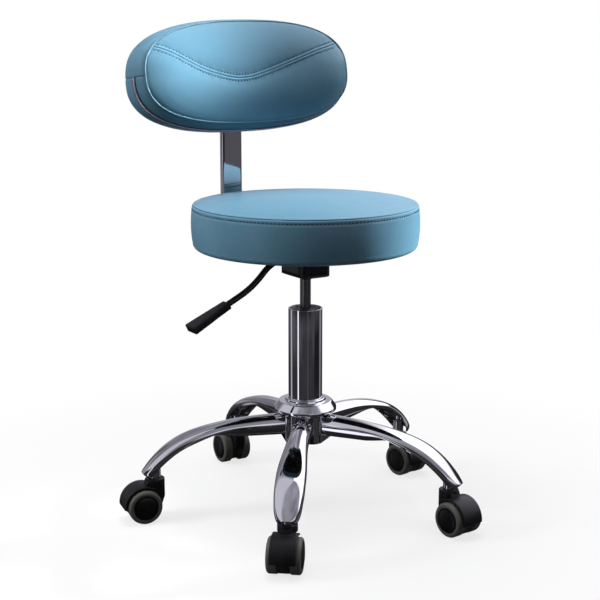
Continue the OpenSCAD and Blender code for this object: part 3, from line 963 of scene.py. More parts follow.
@dataclass
class Backrest(Padding):
    """The oval backrest: welted front panel with a sewn swag, side band with a zip, closed back.

    Its form is worked out upright, with z from the middle of the pad, and then leaned: towards the
    front it rises and tips back.
    """

    half_w: float = 187.5
    half_h: float = 83.5
    power: float = 2.6
    mid_z: float = 631.0
    back_y: float = 207.5
    seam_y: float = 150.0
    lift: float = 8.0
    lean: float = 0.15
    crown: float = 19.0
    crown_power: float = 3.0
    draw: float = 6.5
    sag: float = 2.2
    low_draw: float = 14.0
    side_draw: float = 13.0
    back_round: float = 14.0
    welt_r: float = 0.85
    zip_y: float = 171.0
    row_gap: float = 4.8
    stitch_pitch: float = 5.0
    swag: tuple[tuple[float, float], ...] = (
        (-190, 46), (-160, 41), (-141, 34.8), (-111, 19.1), (-87, 7.8),
        (-61, -0.3), (-37.5, -5.0), (-26.7, -5.5), (-7.3, -3.6), (21.1, 3.8),
        (50.2, 13), (80.3, 22.5), (112.4, 32.4), (150, 40.5), (190, 47),
    )
    swag_steps: int = 24
    panel_steps: tuple[int, int] = (320, 140)
    zip_half: float = 3.1
    zip_steps: int = 220

    def __post_init__(self) -> None:
        """Work out the sewn swag as an even curve of (x, z) points from the middle of the pad."""
        knots = [Vector((x, 0, z)) for x, z in self.swag]
        self.curve: list[Vector] = []
        for k in range(1, len(knots) - 2):
            before, a, b, after = knots[k - 1 : k + 3]
            handles = a + (b - before) / 6, b - (after - a) / 6
            self.curve += interpolate_bezier(a, *handles, b, self.swag_steps)[:-1]
        self.curve.append(knots[-2])

    def build(self) -> None:
        """Build the backrest's pieces."""
        cover = self.cover()
        self.swell(cover, self.is_sewn, self.follows)
        self.sew(cover)
        # painted shade and painted highlight on the backrest, written for the vinyl
        self.mark(cover, self.crease_at)
        self.stitches(cover)
        self.welt()
        self.fastener()

    def leaned(self, x: float, y: float, z: float) -> Vector:
        """Lean a point of the upright form."""
        front = min(1.0, (self.back_y - y) / (self.back_y - self.seam_y))
        return Vector((x, y + self.lean * z * front, self.mid_z + z + self.lift * front)) * MM

    def upright(self, p: Vector) -> Vector:
        """Take the lean out of a point again.

        Args:
            p: A point of the leaned pad, in metres.

        Returns:
            The point of the upright form, in millimetres, with z from the middle of the pad.
        """
        front, y, z = 1.0, 0.0, 0.0
        for _ in range(5):
            z = p.z / MM - self.mid_z - self.lift * front
            y = p.y / MM - self.lean * z * front
            front = min(1.0, max(0.0, (self.back_y - y) / (self.back_y - self.seam_y)))
        return Vector((p.x / MM, y, z))

    def oval(self, x: float, z: float, y: float, inset: float, drawn: float) -> Vector:
        """Put a point of the unit oval on the leaned pad.

        Args:
            x: Place across the unit oval.
            z: Place up the unit oval.
            y: Depth of the ring.
            inset: How far the ring is drawn in all round.
            drawn: Share of the sewn edge's own draw, which is larger at the sides.

        Returns:
            The point, in metres.
        """
        wide = self.half_w - inset - self.side_draw * drawn
        return self.leaned(wide * x, y, (self.rise(z, drawn) - inset) * z)

    def rise(self, z: float, drawn: float) -> float:
        """Half height of the pad above or below its middle; it sags a little, and draws in more below."""
        return self.half_h - self.draw * drawn if z > 0 else self.half_h + self.sag - self.low_draw * drawn

    def unit_oval(self, x: float, z: float) -> tuple[float, float]:
        """Stretch a point of the unit square on to the unit oval.

        Args:
            x: Place across the square.
            z: Place up the square.

        Returns:
            The place on the oval.
        """
        reach = max(abs(x), abs(z))
        size = (abs(x) ** self.power + abs(z) ** self.power) ** (1 / self.power)
        return (x * reach / size, z * reach / size) if reach else (0.0, 0.0)

    def depth_in_panel(self, x: float, z: float) -> float:
        """Find how far a point lies from the panel's edge, 0, to its ridge, 1.

        Args:
            x: Place across the pad.
            z: Place above its middle.

        Returns:
            The share of the way in.
        """
        low, high, run = 0.0, 1.0, self.half_h - self.back_round
        for _ in range(22):
            mid = (low + high) / 2
            a, b = self.half_w - self.side_draw - run * mid, self.rise(z, 1) - run * mid
            inside = abs(x / a) ** self.power + abs(z / b) ** self.power <= 1
            low, high = (mid, high) if inside else (low, mid)
        return low

    def panel_y(self, x: float, z: float) -> float:
        """Find the depth of the crowned front panel, with the fold at its edge.

        Args:
            x: Place across the pad.
            z: Place above its middle.

        Returns:
            The panel's y there.
        """
        t = self.depth_in_panel(x, z)
        fold = 1.6 * math.exp(-t * (self.half_h - self.back_round) / 1.6)
        return self.seam_y + fold - self.crown * (1 - (1 - t) ** self.crown_power)

    def on_band(self, x: float, z: float, y: float) -> Vector:
        """Put a point of the unit oval on the side band, with the groove behind the welt.

        Args:
            x: Place across the unit oval.
            z: Place up the unit oval.
            y: Depth of the point.

        Returns:
            The point, in metres.
        """
        t = (self.back_y - y) / (self.back_y - self.seam_y)
        groove = 0.7 * bell(y - self.seam_y - 4.6, 0.8) + 1.2 * math.exp(-(y - self.seam_y) / 1.1)
        return self.oval(x, z, y, self.back_round * (1 - t) ** 9 + groove, t**3)

    def cover(self) -> Object:
        """Stretch the front panel from a grid, and draw its rim back over band and back.

        Returns:
            The cover, which stands for cushion and board.
        """
        bm = bmesh.new()
        across, up = self.panel_steps
        bmesh.ops.create_grid(bm, x_segments=across, y_segments=up, size=1)
        wide = self.half_w - self.side_draw
        for v in bm.verts:
            x, z = self.unit_oval(v.co.x, v.co.y)
            v.co = (x, 0, z)
        ring = self.rim(bm)
        unit = [(v.co.x, v.co.z) for v in ring]
        for v in bm.verts:
            x, z = v.co.x * wide, v.co.z * self.rise(v.co.z, 1)
            y = self.panel_y(x, z)
            v.co = Vector((x, y + self.lean * z, self.mid_z + z + self.lift)) * MM
        depths = [self.seam_y + d for d in (2.4, 3.0, 3.6, 4.1, 4.6, 5.1, 5.6, 6.4, 7.6, 9.5)]
        depths += [mix(self.seam_y + 12, self.back_y - 5, k / 13) for k in range(14)]
        depths += [self.back_y - d for d in (3.6, 2.4, 1.5, 0.8, 0.3, 0)]
        for y in depths:
            ring = next_ring(bm, ring, [self.on_band(x, z, y) for x, z in unit])
        for inset in (17, 22, 30, 42, 56, 68, 76):
            ring = next_ring(bm, ring, [self.oval(x, z, self.back_y, inset, 0) for x, z in unit])
        bm.faces.new(ring)
        vinyl, nodes = self.finishes.vinyl, ["back_cushion", "back_board"]
        piece = self.add("backrest_cover", bm, vinyl, "seat", Slot.VINYL, nodes, crisp=60)
        return piece

    def rim(self, bm: BMesh) -> list[BMVert]:
        """Follow the border of an open sheet.

        Args:
            bm: The sheet.

        Returns:
            Its border's vertices, in order.
        """
        start: BMEdge = next(e for e in bm.edges if e.is_boundary)
        ring = list(start.verts)
        while True:
            edges = [e for e in ring[-1].link_edges if e.is_boundary]
            after = next(e.other_vert(ring[-1]) for e in edges if e.other_vert(ring[-1]) is not ring[-2])
            if after is ring[0]:
                return ring
            ring.append(after)

    def from_swag(self, q: Vector) -> float:
        """Measure how far an upright point lies from the sewn swag.

        Args:
            q: The point, in millimetres.

        Returns:
            The distance, positive above the swag.
        """
        stride = 12
        k = sum(1 for c in self.curve[::stride] if c.x < q.x) * stride
        k = min(max(k - stride, 0), len(self.curve) - 2)
        while k < len(self.curve) - 2 and self.curve[k + 1].x < q.x:
            k += 1
        a, b = self.curve[k], self.curve[k + 1]
        slope = (b.z - a.z) / (b.x - a.x)
        return (q.z - a.z - slope * (q.x - a.x)) / math.hypot(1, slope)

    def is_sewn(self, p: Vector) -> bool:
        """Tell whether a point is on the board, or sewn in the welt or the swag."""
        q = self.upright(p)
        return q.y > self.back_y - 12 or abs(q.y - self.seam_y) < 5 or self.near_swag(q) < 5

    def near_swag(self, q: Vector) -> float:
        """Distance from the swag on the front panel, and a long way elsewhere."""
        return abs(self.from_swag(q)) if q.y < self.seam_y else 99.0

    def follows(self, p: Vector) -> float:
        """Let the cover follow the swelling away from its seams and its board.

        Args:
            p: A point of the cover.

        Returns:
            The share of the swelling that it takes.
        """
        q = self.upright(p)
        welt, board = ease(3, 16, abs(q.y - self.seam_y)), ease(6, 22, self.back_y - q.y)
        return self.give * welt * board * ease(4, 16, self.near_swag(q))

    def sew(self, piece: Object) -> None:
        """Press the swag, its stitch lines and the cross seams into the cover.

        Args:
            piece: The cover, which is changed.
        """
        for v in piece.data.vertices:
            q = self.upright(v.co)
            if q.y < self.seam_y:
                d = self.from_swag(q)
                if abs(d) < 40:
                    v.co.y -= self.swag_height(d, q.x) * MM
            elif abs(q.z) < 4:
                v.co.x -= math.copysign(0.9 * bell(q.z, 1.0) * MM, v.co.x)

    def swag_height(self, d: float, x: float) -> float:
        """Find how high the sewn cover stands over its plain shape.

        Args:
            d: Distance from the swag.
            x: Place across the pad.

        Returns:
            The height, in millimetres.
        """
        rows = abs(d) - self.row_gap
        ridge = 0.75 * bell(abs(d) - 1.6, 1.0) - 0.9 * bell(d, 0.7) - 0.35 * bell(rows, 0.9)
        gather = 0.16 * bell(rows, 4) * math.cos(TURN * x / (3 * self.stitch_pitch))
        return ridge + gather - 1.6 * bell(d, 13)

    def crease_at(self, p: Vector) -> float:
        """Mark painted shade in the fold, welt groove and cross seams, and painted highlight on the swag's
        ridges.

        Args:
            p: A point of the cover.

        Returns:
            Its painted shade, 0 to 1, or below 0 a painted highlight.
        """
        q = self.upright(p)
        behind = q.y - self.seam_y
        if behind < -0.5:
            d = self.from_swag(q)
            # painted shade in the swag's fold, less a painted highlight on its two ridges
            return 0.95 * bell(d, 0.55) - 0.8 * bell(abs(d) - 1.6, 0.6)
        cross = bell(q.z, 0.6) if behind > 3 and abs(q.x) > 150 else 0.0
        # painted shade in the welt's groove, the stitch groove behind it and the cross seams
        return min(1.0, 0.8 * bell(behind - 1.8, 0.7) + 0.6 * bell(behind - 4.6, 0.6) + cross)

    def stitches(self, cover: Object) -> None:
        """Sew a row of stitches on each side of the swag, down on the cover's surface.

        Args:
            cover: The finished cover.
        """
        bm = bmesh.new()
        bpy.context.view_layer.update()
        for side in (1, -1):
            row = []
            for a, b in zip(self.curve, self.curve[1:]):
                way = (b - a).normalized()
                row.append(a + Vector((-way.z, 0, way.x)) * self.row_gap * side)
            for at, way in along(row, self.stitch_pitch):
                start = Vector((at.x * MM, 0.05, (at.z + self.mid_z + self.lift) * MM))
                found, place, normal, _ = cover.ray_cast(start, Vector((0, 1, 0)), distance=0.11)
                if found:
                    flat = (way - normal * way.dot(normal)).normalized()
                    stitch(bm, place + normal * 0.15 * MM, flat, normal, 2.0 * MM, 1.9 * MM)
        self.add("backrest_stitches", bm, self.finishes.thread, "seat", Slot.VINYL, crisp=80)

    def band_path(self, y: float, start: float, end: float, count: int) -> list[Vector]:
        """Follow the band round at one depth.

        Args:
            y: The depth.
            start: First bearing in degrees, anticlockwise from +X.
            end: Last bearing.
            count: Number of points.

        Returns:
            The points, in metres.
        """
        points = []
        for a in (math.radians(mix(start, end, k / count)) for k in range(count)):
            x, z = math.cos(a), math.sin(a)
            size = (abs(x) ** self.power + abs(z) ** self.power) ** (1 / self.power)
            points.append(self.on_band(x / size, z / size, y))
        return points

    def welt(self) -> None:
        """Lay the thin welt in the groove between panel and band."""
        bm = bmesh.new()
        path = self.band_path(self.seam_y + 0.4, 0, 360, 400)
        middle = Vector((0, 0, (self.mid_z + self.lift) * MM))
        path = [p + (p - middle - Vector((0, p.y, 0))).normalized() * 0.7 * MM for p in path]
        tube(bm, path, self.welt_r * MM, 10, Vector((0, 1, 0)), closed=True)
        join_ends(bm)
        # the welt's paler vinyl is a painted highlight
        self.add("backrest_welt", bm, self.finishes.welt, "seat", Slot.VINYL, crisp=80)

    def fastener(self) -> None:
        """Lay the zip's tape and its coil on the surface of the lower half of the band."""
        depths = (self.zip_y - self.zip_half, self.zip_y, self.zip_y + self.zip_half)
        near, path, far = (self.band_path(y, 180, 360, self.zip_steps) for y in depths)
        tape, rings = bmesh.new(), []
        for k, (a, b) in enumerate(zip(near, far)):
            way = path[min(k + 1, self.zip_steps - 1)] - path[max(k - 1, 0)]
            out = (b - a).cross(way).normalized()
            rings.append([a + out * 0.5 * MM, b + out * 0.5 * MM, b - out * 0.4 * MM, a - out * 0.4 * MM])
        sweep(tape, rings)
        self.add("backrest_zip_tape", tape, self.finishes.thread, "seat", Slot.VINYL)
        coil = bmesh.new()
        across = [(b - a).normalized() for a, b in zip(near, far)]
        for at, way in along(path, 1.7 * MM):
            side = min(zip(path, across), key=lambda pair: (pair[0] - at).length_squared)[1]
            out = side.cross(way).normalized()
            place = Matrix((way * 1.3 * MM, out * 1.7 * MM, side * 5.0 * MM)).transposed().to_4x4()
            place.translation = at + out * 0.6 * MM
            bmesh.ops.create_icosphere(coil, subdivisions=1, radius=0.5, matrix=place)
        self.add("backrest_zip_coil", coil, self.finishes.zip, "seat", Slot.VINYL, crisp=80)


@dataclass
class BackBar(Assembly):
    """The flat chrome tube that carries the backrest, with its end plugs."""

    width: float = 36.0
    thick: float = 12.0
    corner: float = 5.0
    front_y: float = 40.0
    run_z: float = 388.0
    up_y: float = 214.0
    top_z: float = 663.0
    bend: float = 30.0

    def build(self) -> None:
        """Build the bar and its plugs."""
        bm = bmesh.new()
        section = rounded_section(self.width * MM, self.thick * MM, self.corner * MM, 8)
        frames = section_frames(self.path(), Vector((1, 0, 0)))
        sweep(bm, [[m @ p for p in section] for m in frames])
        self.add("bar_tube", bm, self.finishes.chrome, "seat", Slot.CHROME, ["back_bar"])
        plugs = bmesh.new()
        for end, out in ((frames[0], -1), (frames[-1], 1)):
            rings = []
            for grow, rise in ((-0.6, -1.0), (-0.6, 0.2), (-0.1, 0.5), (0, 1.2), (-0.7, 2.2), (-2.2, 2.8)):
                width, thick, corner = self.width + 2 * grow, self.thick + 2 * grow, self.corner + grow
                ring = rounded_section(width * MM, thick * MM, corner * MM, 8)
                rings.append([end @ (p + Vector((0, 0, out * rise * MM))) for p in ring])
            sweep(plugs, rings)
        self.add("bar_plugs", plugs, self.finishes.plastic, "seat", Slot.PLASTIC)

    def path(self) -> list[Vector]:
        """Draw the middle line of the tube, from under the seat up behind the backrest.

        Returns:
            Its points, in metres.
        """
        turn_y, turn_z = self.up_y - self.bend, self.run_z + self.bend
        flat = [(mix(self.front_y, turn_y, k / 12), self.run_z) for k in range(12)]
        arc = [math.pi / 2 * k / 24 for k in range(25)]
        flat += [(turn_y + self.bend * math.sin(a), turn_z - self.bend * math.cos(a)) for a in arc]
        flat += [(self.up_y, mix(turn_z, self.top_z, k / 16)) for k in range(1, 17)]
        return [Vector((0, y * MM, z * MM)) for y, z in flat]


@dataclass
class StarBase(Assembly):
    """The chrome base: five-sided hub, bevelled collar and five arched legs with their sockets."""

    legs: int = 5
    bearing: float = 231.0
    bore_r: float = 25.3
    hub_r: float = 37.0
    hub_flat: float = 33.0
    hub_bottom: float = 108.0
    hub_top: float = 149.5
    collar_r: float = 46.5
    collar_top: float = 168.0
    stem_r: float = 225.0
    root_z: float = 132.5
    tip_z: float = 68.5
    tongue: float = 0.92
    stations: int = 60
    arc: int = 30

    def build(self) -> None:
        """Build hub, collar, legs and sockets."""
        self.hub()
        for i in range(self.legs):
            bm = bmesh.new()
            turn = Matrix.Rotation(math.radians(self.bearing + i * 360 / self.legs), 4, "Z")
            places = [self.tongue * k / self.stations for k in range(self.stations)]
            places += [mix(self.tongue, 1, math.sin(math.pi / 2 * k / 14)) for k in range(15)]
            sweep(bm, [[turn @ p for p in self.leg_ring(t)] for t in places])
            socket = [(5.7, 64), (8.0, 64), (8.6, 64.6), (8.6, 74), (8.6, 83), (5.7, 83)]
            lathe(bm, socket, turn @ Matrix.Translation((self.stem_r * MM, 0, 0)), steps=48, closed=True)
            name, nodes = f"leg_shell_{i + 1}", [f"leg_{i + 1}"]
            self.add(name, bm, self.finishes.chrome, "base", Slot.CHROME, nodes, crisp=28)
        self.dress(self.finishes.steel, ["caster_stems", "thrust_bearing"])

    def hub(self) -> None:
        """Draw the five-sided hub up from its bore, and turn the collar over it."""
        bm = bmesh.new()
        edge = 1.4
        heights = [(self.hub_bottom, edge), (self.hub_bottom + 0.4, 0.45 * edge), (self.hub_bottom + edge, 0)]
        rings = [self.hub_ring(self.hub_bottom, self.hub_r - self.bore_r)]
        rings += [self.hub_ring(z, inset) for z, inset in heights]
        rings += [self.hub_ring(self.hub_top, 0), self.hub_ring(self.hub_top, self.hub_r - self.bore_r)]
        sweep(bm, rings, capped=False)
        join_ends(bm)
        top, rim = self.collar_top, self.collar_r
        outline = [
            (self.bore_r, self.hub_top), (self.hub_r + 0.3, self.hub_top), (rim, top - 14), (rim, top - 10),
            (39, top), (30, top), (29.2, top + 4), (self.bore_r, top + 4),
        ]
        lathe(bm, filleted(outline, 1.3), steps=160, closed=True)
        self.add("hub_casting", bm, self.finishes.chrome, "base", Slot.CHROME, ["base_hub"], crisp=28)

    def hub_ring(self, z: float, inset: float) -> list[Vector]:
        """Draw one level of the hub: a circle cut by five flats.

        Args:
            z: Height of the level.
            inset: How far it is drawn in.

        Returns:
            Its points, in metres.
        """
        ring, count, half = [], 300, math.pi / self.legs
        for k in range(count):
            a = TURN * k / count
            off = (a - math.radians(self.bearing) + half) % (2 * half) - half
            r = max(min(self.hub_r, self.hub_flat / math.cos(off)) - inset, self.bore_r)
            ring.append(Vector((r * math.cos(a), r * math.sin(a), z)) * MM)
        return ring

    def leg_ring(self, t: float) -> list[Vector]:
        """Draw a section of a leg along +X: an arch over a second arc, round at the hub, dished at the end.

        Args:
            t: Share of the way from hub to end.

        Returns:
            The section's points.
        """
        root, reach = self.root_z, self.stem_r
        knots = ((33, root), (128, root), (reach - 40, root + 10.5), (reach + 15, self.tip_z))
        p = [Vector((x, 0, z)) for x, z in knots]
        s = 1 - t
        at = s**3 * p[0] + 3 * s * s * t * p[1] + 3 * s * t * t * p[2] + t**3 * p[3]
        way = (s * s * (p[1] - p[0]) + 2 * s * t * (p[2] - p[1]) + t * t * (p[3] - p[2])).normalized()
        up = Vector((-way.z, 0, way.x))
        spread = ease(0.22, 0.62, t)
        narrow = 1 - math.sqrt(1 - max(0.0, (t - self.tongue) / (1 - self.tongue)) ** 2)
        half = mix(32, mix(42, 36, ease(0.80, 1, t)), ease(0.25, 0.72, t)) / 2 * (1 - 0.42 * narrow)
        wall, lip = 8 * spread, mix(0.8, 2.5, spread)
        power, square = mix(1, 0.62, spread), mix(1, 0.78, spread)
        top, dish = mix(16, 5.5, ease(0, 0.6, t)) + wall, mix(-16, 9, spread)
        angles = [math.pi * k / self.arc for k in range(self.arc + 1)]
        across = [math.copysign(abs(math.cos(a)) ** square, math.cos(a)) for a in angles]
        arch = [(half * y, top * max(0.0, math.sin(a)) ** power - wall) for y, a in zip(across, angles)]
        under = [((half - lip) * math.cos(a), dish * math.sin(a) - wall) for a in reversed(angles)]
        return [(at + up * z + Vector((0, y, 0))) * MM for y, z in arch + under]


@dataclass
class GasLift(Assembly):
    """The chrome column with its bush, and the dark gas spring that stands in it."""

    radius: float = 25.0
    wall: float = 1.8
    bottom: float = 106.0
    top: float = 307.0

    def build(self) -> None:
        """Turn the column and finish what stands in it."""
        bm = bmesh.new()
        inner = self.radius - self.wall
        outline = [
            (6, self.bottom), (self.radius, self.bottom), (self.radius, self.top), (inner, self.top),
            (inner, self.bottom + 3), (6, self.bottom + 3),
        ]
        lathe(bm, filleted(outline, 0.8), steps=160, closed=True)
        self.add("column_shell", bm, self.finishes.chrome, "base", Slot.CHROME, ["column_tube"], crisp=28)
        self.dress(self.finishes.plastic, ["guide_bush"])
        self.dress(self.finishes.blacked, ["gas_cylinder"])
        self.dress(self.finishes.steel, ["piston_rod", "piston", "retaining_clip"])
        self.dress(self.finishes.brass, ["rod_guide", "release_pin"])


@dataclass
class LiftBracket(Assembly):
    """The stamped tray and plate under the seat, with pin and bolts."""

    def build(self) -> None:
        """Finish the bracket's parts."""
        self.dress(self.finishes.paint, ["lift_bracket", "seat_plate"])
        self.dress(self.finishes.steel, ["lever_pin", "bolts"])


@dataclass
class Lever(Assembly):
    """The bent release lever with its paddle."""

    pivot: tuple[float, float] = (-14.0, 382.4)
    bend: tuple[float, float] = (-54.6, 382.4)
    knee: tuple[float, float] = (-90.1, 346.2)
    tip_x: float = 12.0
    rod_r: float = 4.5
    slope: float = 26.0
    grip_from: float = 44.5
    grip_to: float = 110.5
    in_grip: float = 12.0

    def build(self) -> None:
        """Build rod and paddle."""
        bm = bmesh.new()
        lean = math.radians(self.slope)
        reach = self.grip_from + self.in_grip
        end = (self.knee[0] - reach * math.cos(lean), self.knee[1] - reach * math.sin(lean))
        line = filleted([(self.tip_x, self.pivot[1]), self.bend, self.knee, end], 22, closed=False, steps=10)
        tube(bm, [Vector((x, 0, z)) * MM for x, z in line], self.rod_r * MM, 24, Vector((0, 1, 0)))
        boss = [(2.8, -8), (7, -8), (7, 8), (2.8, 8)]
        turn = Matrix.Rotation(math.pi / 2, 4, "X")
        place = Matrix.Translation((self.pivot[0] * MM, 0, self.pivot[1] * MM)) @ turn
        lathe(bm, filleted(boss, 0.5), place, steps=40, closed=True)
        self.add("lever_bar", bm, self.finishes.paint, "lever", Slot.PAINT, ["lever_rod"])
        self.paddle(lean)

    def paddle(self, lean: float) -> None:
        """Draw the paddle out from its neck, flat on top and hollow underneath.

        Args:
            lean: Slope of the paddle.
        """
        bm = bmesh.new()
        way = Vector((-math.cos(lean), 0, -math.sin(lean)))
        up = Vector((-way.z, 0, way.x)) * -1
        start = Vector((self.knee[0], 0, self.knee[1]))
        rings = []
        length = self.grip_to - self.grip_from
        middle = [(k / 12, 0) for k in range(1, 12)]
        stops = [(0, 1.6), (0.006, 0.7), (0.02, 0), *middle, (0.98, 0), (0.992, 0.6), (1, 1.8)]
        for t, inset in stops:
            width, thick = mix(18, 27, ease(-0.2, 1.1, t)) - 2 * inset, mix(10, 12, t) - 2 * inset
            dent = 1.3 * ease(0.1, 0.4, t) * (1 - ease(0.8, 1, t))
            at = start + way * (self.grip_from + t * length)
            ring = []
            for p in rounded_section(width, thick, max(2.6 - inset, 0.6), 5):
                hollow = dent * max(0.0, 1 - (2 * p.x / width) ** 2) if p.y < 0 else 0.0
                ring.append((at + Vector((0, p.x, 0)) + up * (p.y + hollow)) * MM)
            rings.append(ring)
        sweep(bm, rings)
        self.add("lever_paddle", bm, self.finishes.plastic, "lever", Slot.PLASTIC, ["lever_grip"])


@dataclass
class Caster(Assembly):
    """One twin-wheel caster in its own frame: stem along Z, trail along X, axle along Y."""

    number: int = 1
    axle_z: float = 25.0
    trail: float = 20.0
    hood_in: float = 27.0
    hood_out: float = 30.0
    hood_w: float = 36.0
    web_w: float = 17.0
    cap_r: float = 14.0
    cap_top: float = 62.0
    cap_h: float = 10.5
    cap_bore: float = 5.6
    core_r: float = 18.4
    wheel_in: float = 8.9
    wheel_out: float = 23.5
    tread_r: float = 25.0
    shoulder: float = 4.0

    def __post_init__(self) -> None:
        """Find the caster's place and heading from its joints."""
        joints = {j["name"]: Vector(j["pos_m"]) for j in frame["joints"] if "pos_m" in j}
        stem = joints[f"caster_swivel_{self.number}"]
        heading = joints[f"wheel_spin_left_{self.number}"] - stem
        turn = Matrix.Rotation(math.atan2(heading.y, heading.x), 4, "Z")
        self.place = Matrix.Translation((stem.x, stem.y, 0)) @ turn

    def build(self) -> None:
        """Build hood, wheels and tyres."""
        self.hood()
        for side in Side:
            self.wheel(side)
        self.dress(self.finishes.steel, [f"caster_axle_{self.number}"])

    def axle(self, side: Side = Side.LEFT) -> Matrix:
        """Frame on the axle with Z out to one side of the caster."""
        turn = Matrix.Rotation(-side.value * math.pi / 2, 4, "X")
        return self.place @ Matrix.Translation((self.trail * MM, 0, self.axle_z * MM)) @ turn

    def hood(self) -> None:
        """Spin the shroud over the wheels, and join it to the web and the stem's cap."""
        bm = bmesh.new()
        section = rounded_section(self.hood_w, self.hood_out - self.hood_in, 1.3, 4)
        rings = []
        middle, radius = Vector((self.trail, 0, self.axle_z)), (self.hood_in + self.hood_out) / 2
        for k in range(41):
            a = math.radians(mix(-4, 118, k / 40))
            out = Vector((math.cos(a), 0, math.sin(a)))
            ring = []
            for p in section:
                dome = 0.9 * (1 - (2 * p.x / self.hood_w) ** 2) if p.y > 0 else 0.0
                ring.append((middle + out * (radius + p.y + dome) + Vector((0, p.x, 0))) * MM)
            rings.append(ring)
        sweep(bm, rings)
        self.web(bm)
        low, top = self.cap_top - self.cap_h, self.cap_top
        cap = [(self.cap_bore, low), (self.cap_r, low), (self.cap_r, top), (self.cap_bore, top)]
        lathe(bm, filleted(cap, 1.2), steps=64, closed=True)
        bmesh.ops.transform(bm, matrix=self.place, verts=bm.verts[:])
        name, body = f"caster_shroud_{self.number}", f"caster_{self.number}"
        nodes = [f"caster_hood_{self.number}"]
        self.add(name, bm, self.finishes.plastic, body, Slot.PLASTIC, nodes, crisp=30)

    def web(self, bm: BMesh) -> None:
        """Add the web between the wheels, from the stem's neck to the keel.

        Args:
            bm: The hood's mesh.
        """
        x, z, r = self.trail, self.axle_z, self.hood_out - 1.6
        outline = [(-12.5, self.cap_top - 1), (-12.5, 36), (-8.5, 24), (6, 7), (34, 5), (44, 19)]
        for a in (math.radians(k) for k in range(2, 106, 8)):
            outline.append((x + r * math.cos(a), z + r * math.sin(a)))
        outline += [(12.5, self.cap_top - 1)]
        half = self.web_w / 2
        face = bm.faces.new([bm.verts.new((px * MM, -half * MM, pz * MM)) for px, pz in outline])
        made = bmesh.ops.extrude_face_region(bm, geom=[face])["geom"]
        moved = [v for v in made if isinstance(v, BMVert)]
        bmesh.ops.translate(bm, verts=moved, vec=(0, self.web_w * MM, 0))
        rims = [e for e in bm.edges if all(v in moved for v in e.verts)] + list(face.edges)
        bmesh.ops.bevel(bm, geom=rims, offset=1.1 * MM, affect="EDGES", segments=3, profile=0.5, material=-1)

    def wheel(self, side: Side) -> None:
        """Turn one wheel's hub cap and its tyre.

        Args:
            side: Which of the two wheels.
        """
        mark = f"{side.name.lower()}_{self.number}"
        body, finishes = f"wheel_{mark}", self.finishes
        inner, out, r = self.wheel_in, self.wheel_out, self.core_r
        core = [(3.2, inner), (r, inner), (r, out - 0.6), (r - 0.5, out), (r - 1.3, out + 0.1)]
        core += [(r - 1.6, out - 0.7), (r - 2.3, out - 0.7), (r - 2.6, out + 0.3), (r - 4, out + 0.9)]
        core += [(11, out + 1.5), (6, out + 1.9), (0, out + 2)]
        bm = bmesh.new()
        lathe(bm, core, self.axle(side), steps=72)
        self.add(f"wheel_cap_{mark}", bm, finishes.cap, body, Slot.PLASTIC, [body], crisp=40)
        tread, bend = self.tread_r, self.shoulder
        tyre = [(r + 0.1, inner), (tread - 0.6, inner), (tread, inner + 0.6), (tread, out - bend)]
        for a in (math.pi / 2 * k / 8 for k in range(1, 9)):
            tyre.append((tread - bend + bend * math.cos(a), out - bend + bend * math.sin(a)))
        tyre += [(19.4, out + 0.1), (r + 0.1, out - 0.5)]
        bm = bmesh.new()
        lathe(bm, tyre, self.axle(side), steps=96, closed=True)
        self.add(f"tyre_ring_{mark}", bm, finishes.tyre, body, Slot.TYRE, [f"tyre_{mark}"], crisp=40)


@dataclass(frozen=True)
class Window:
    """A bright patch of the mirrored room.

    It has a bearing and a half width in degrees, a glow, and its lowest and highest z on the unit sphere.
    """

    bearing: float
    half: float
    glow: float
    low: float = -1.2
    high: float = 0.46


@dataclass(frozen=True)
class Lamp:
    """A soft lamp: where it hangs and aims, its watts, its cloth's size and its beam's width in degrees."""

    name: str
    at: tuple[float, float, float]
    aim: tuple[float, float, float]
    watts: float
    size: tuple[float, float]
    beam: float = 180


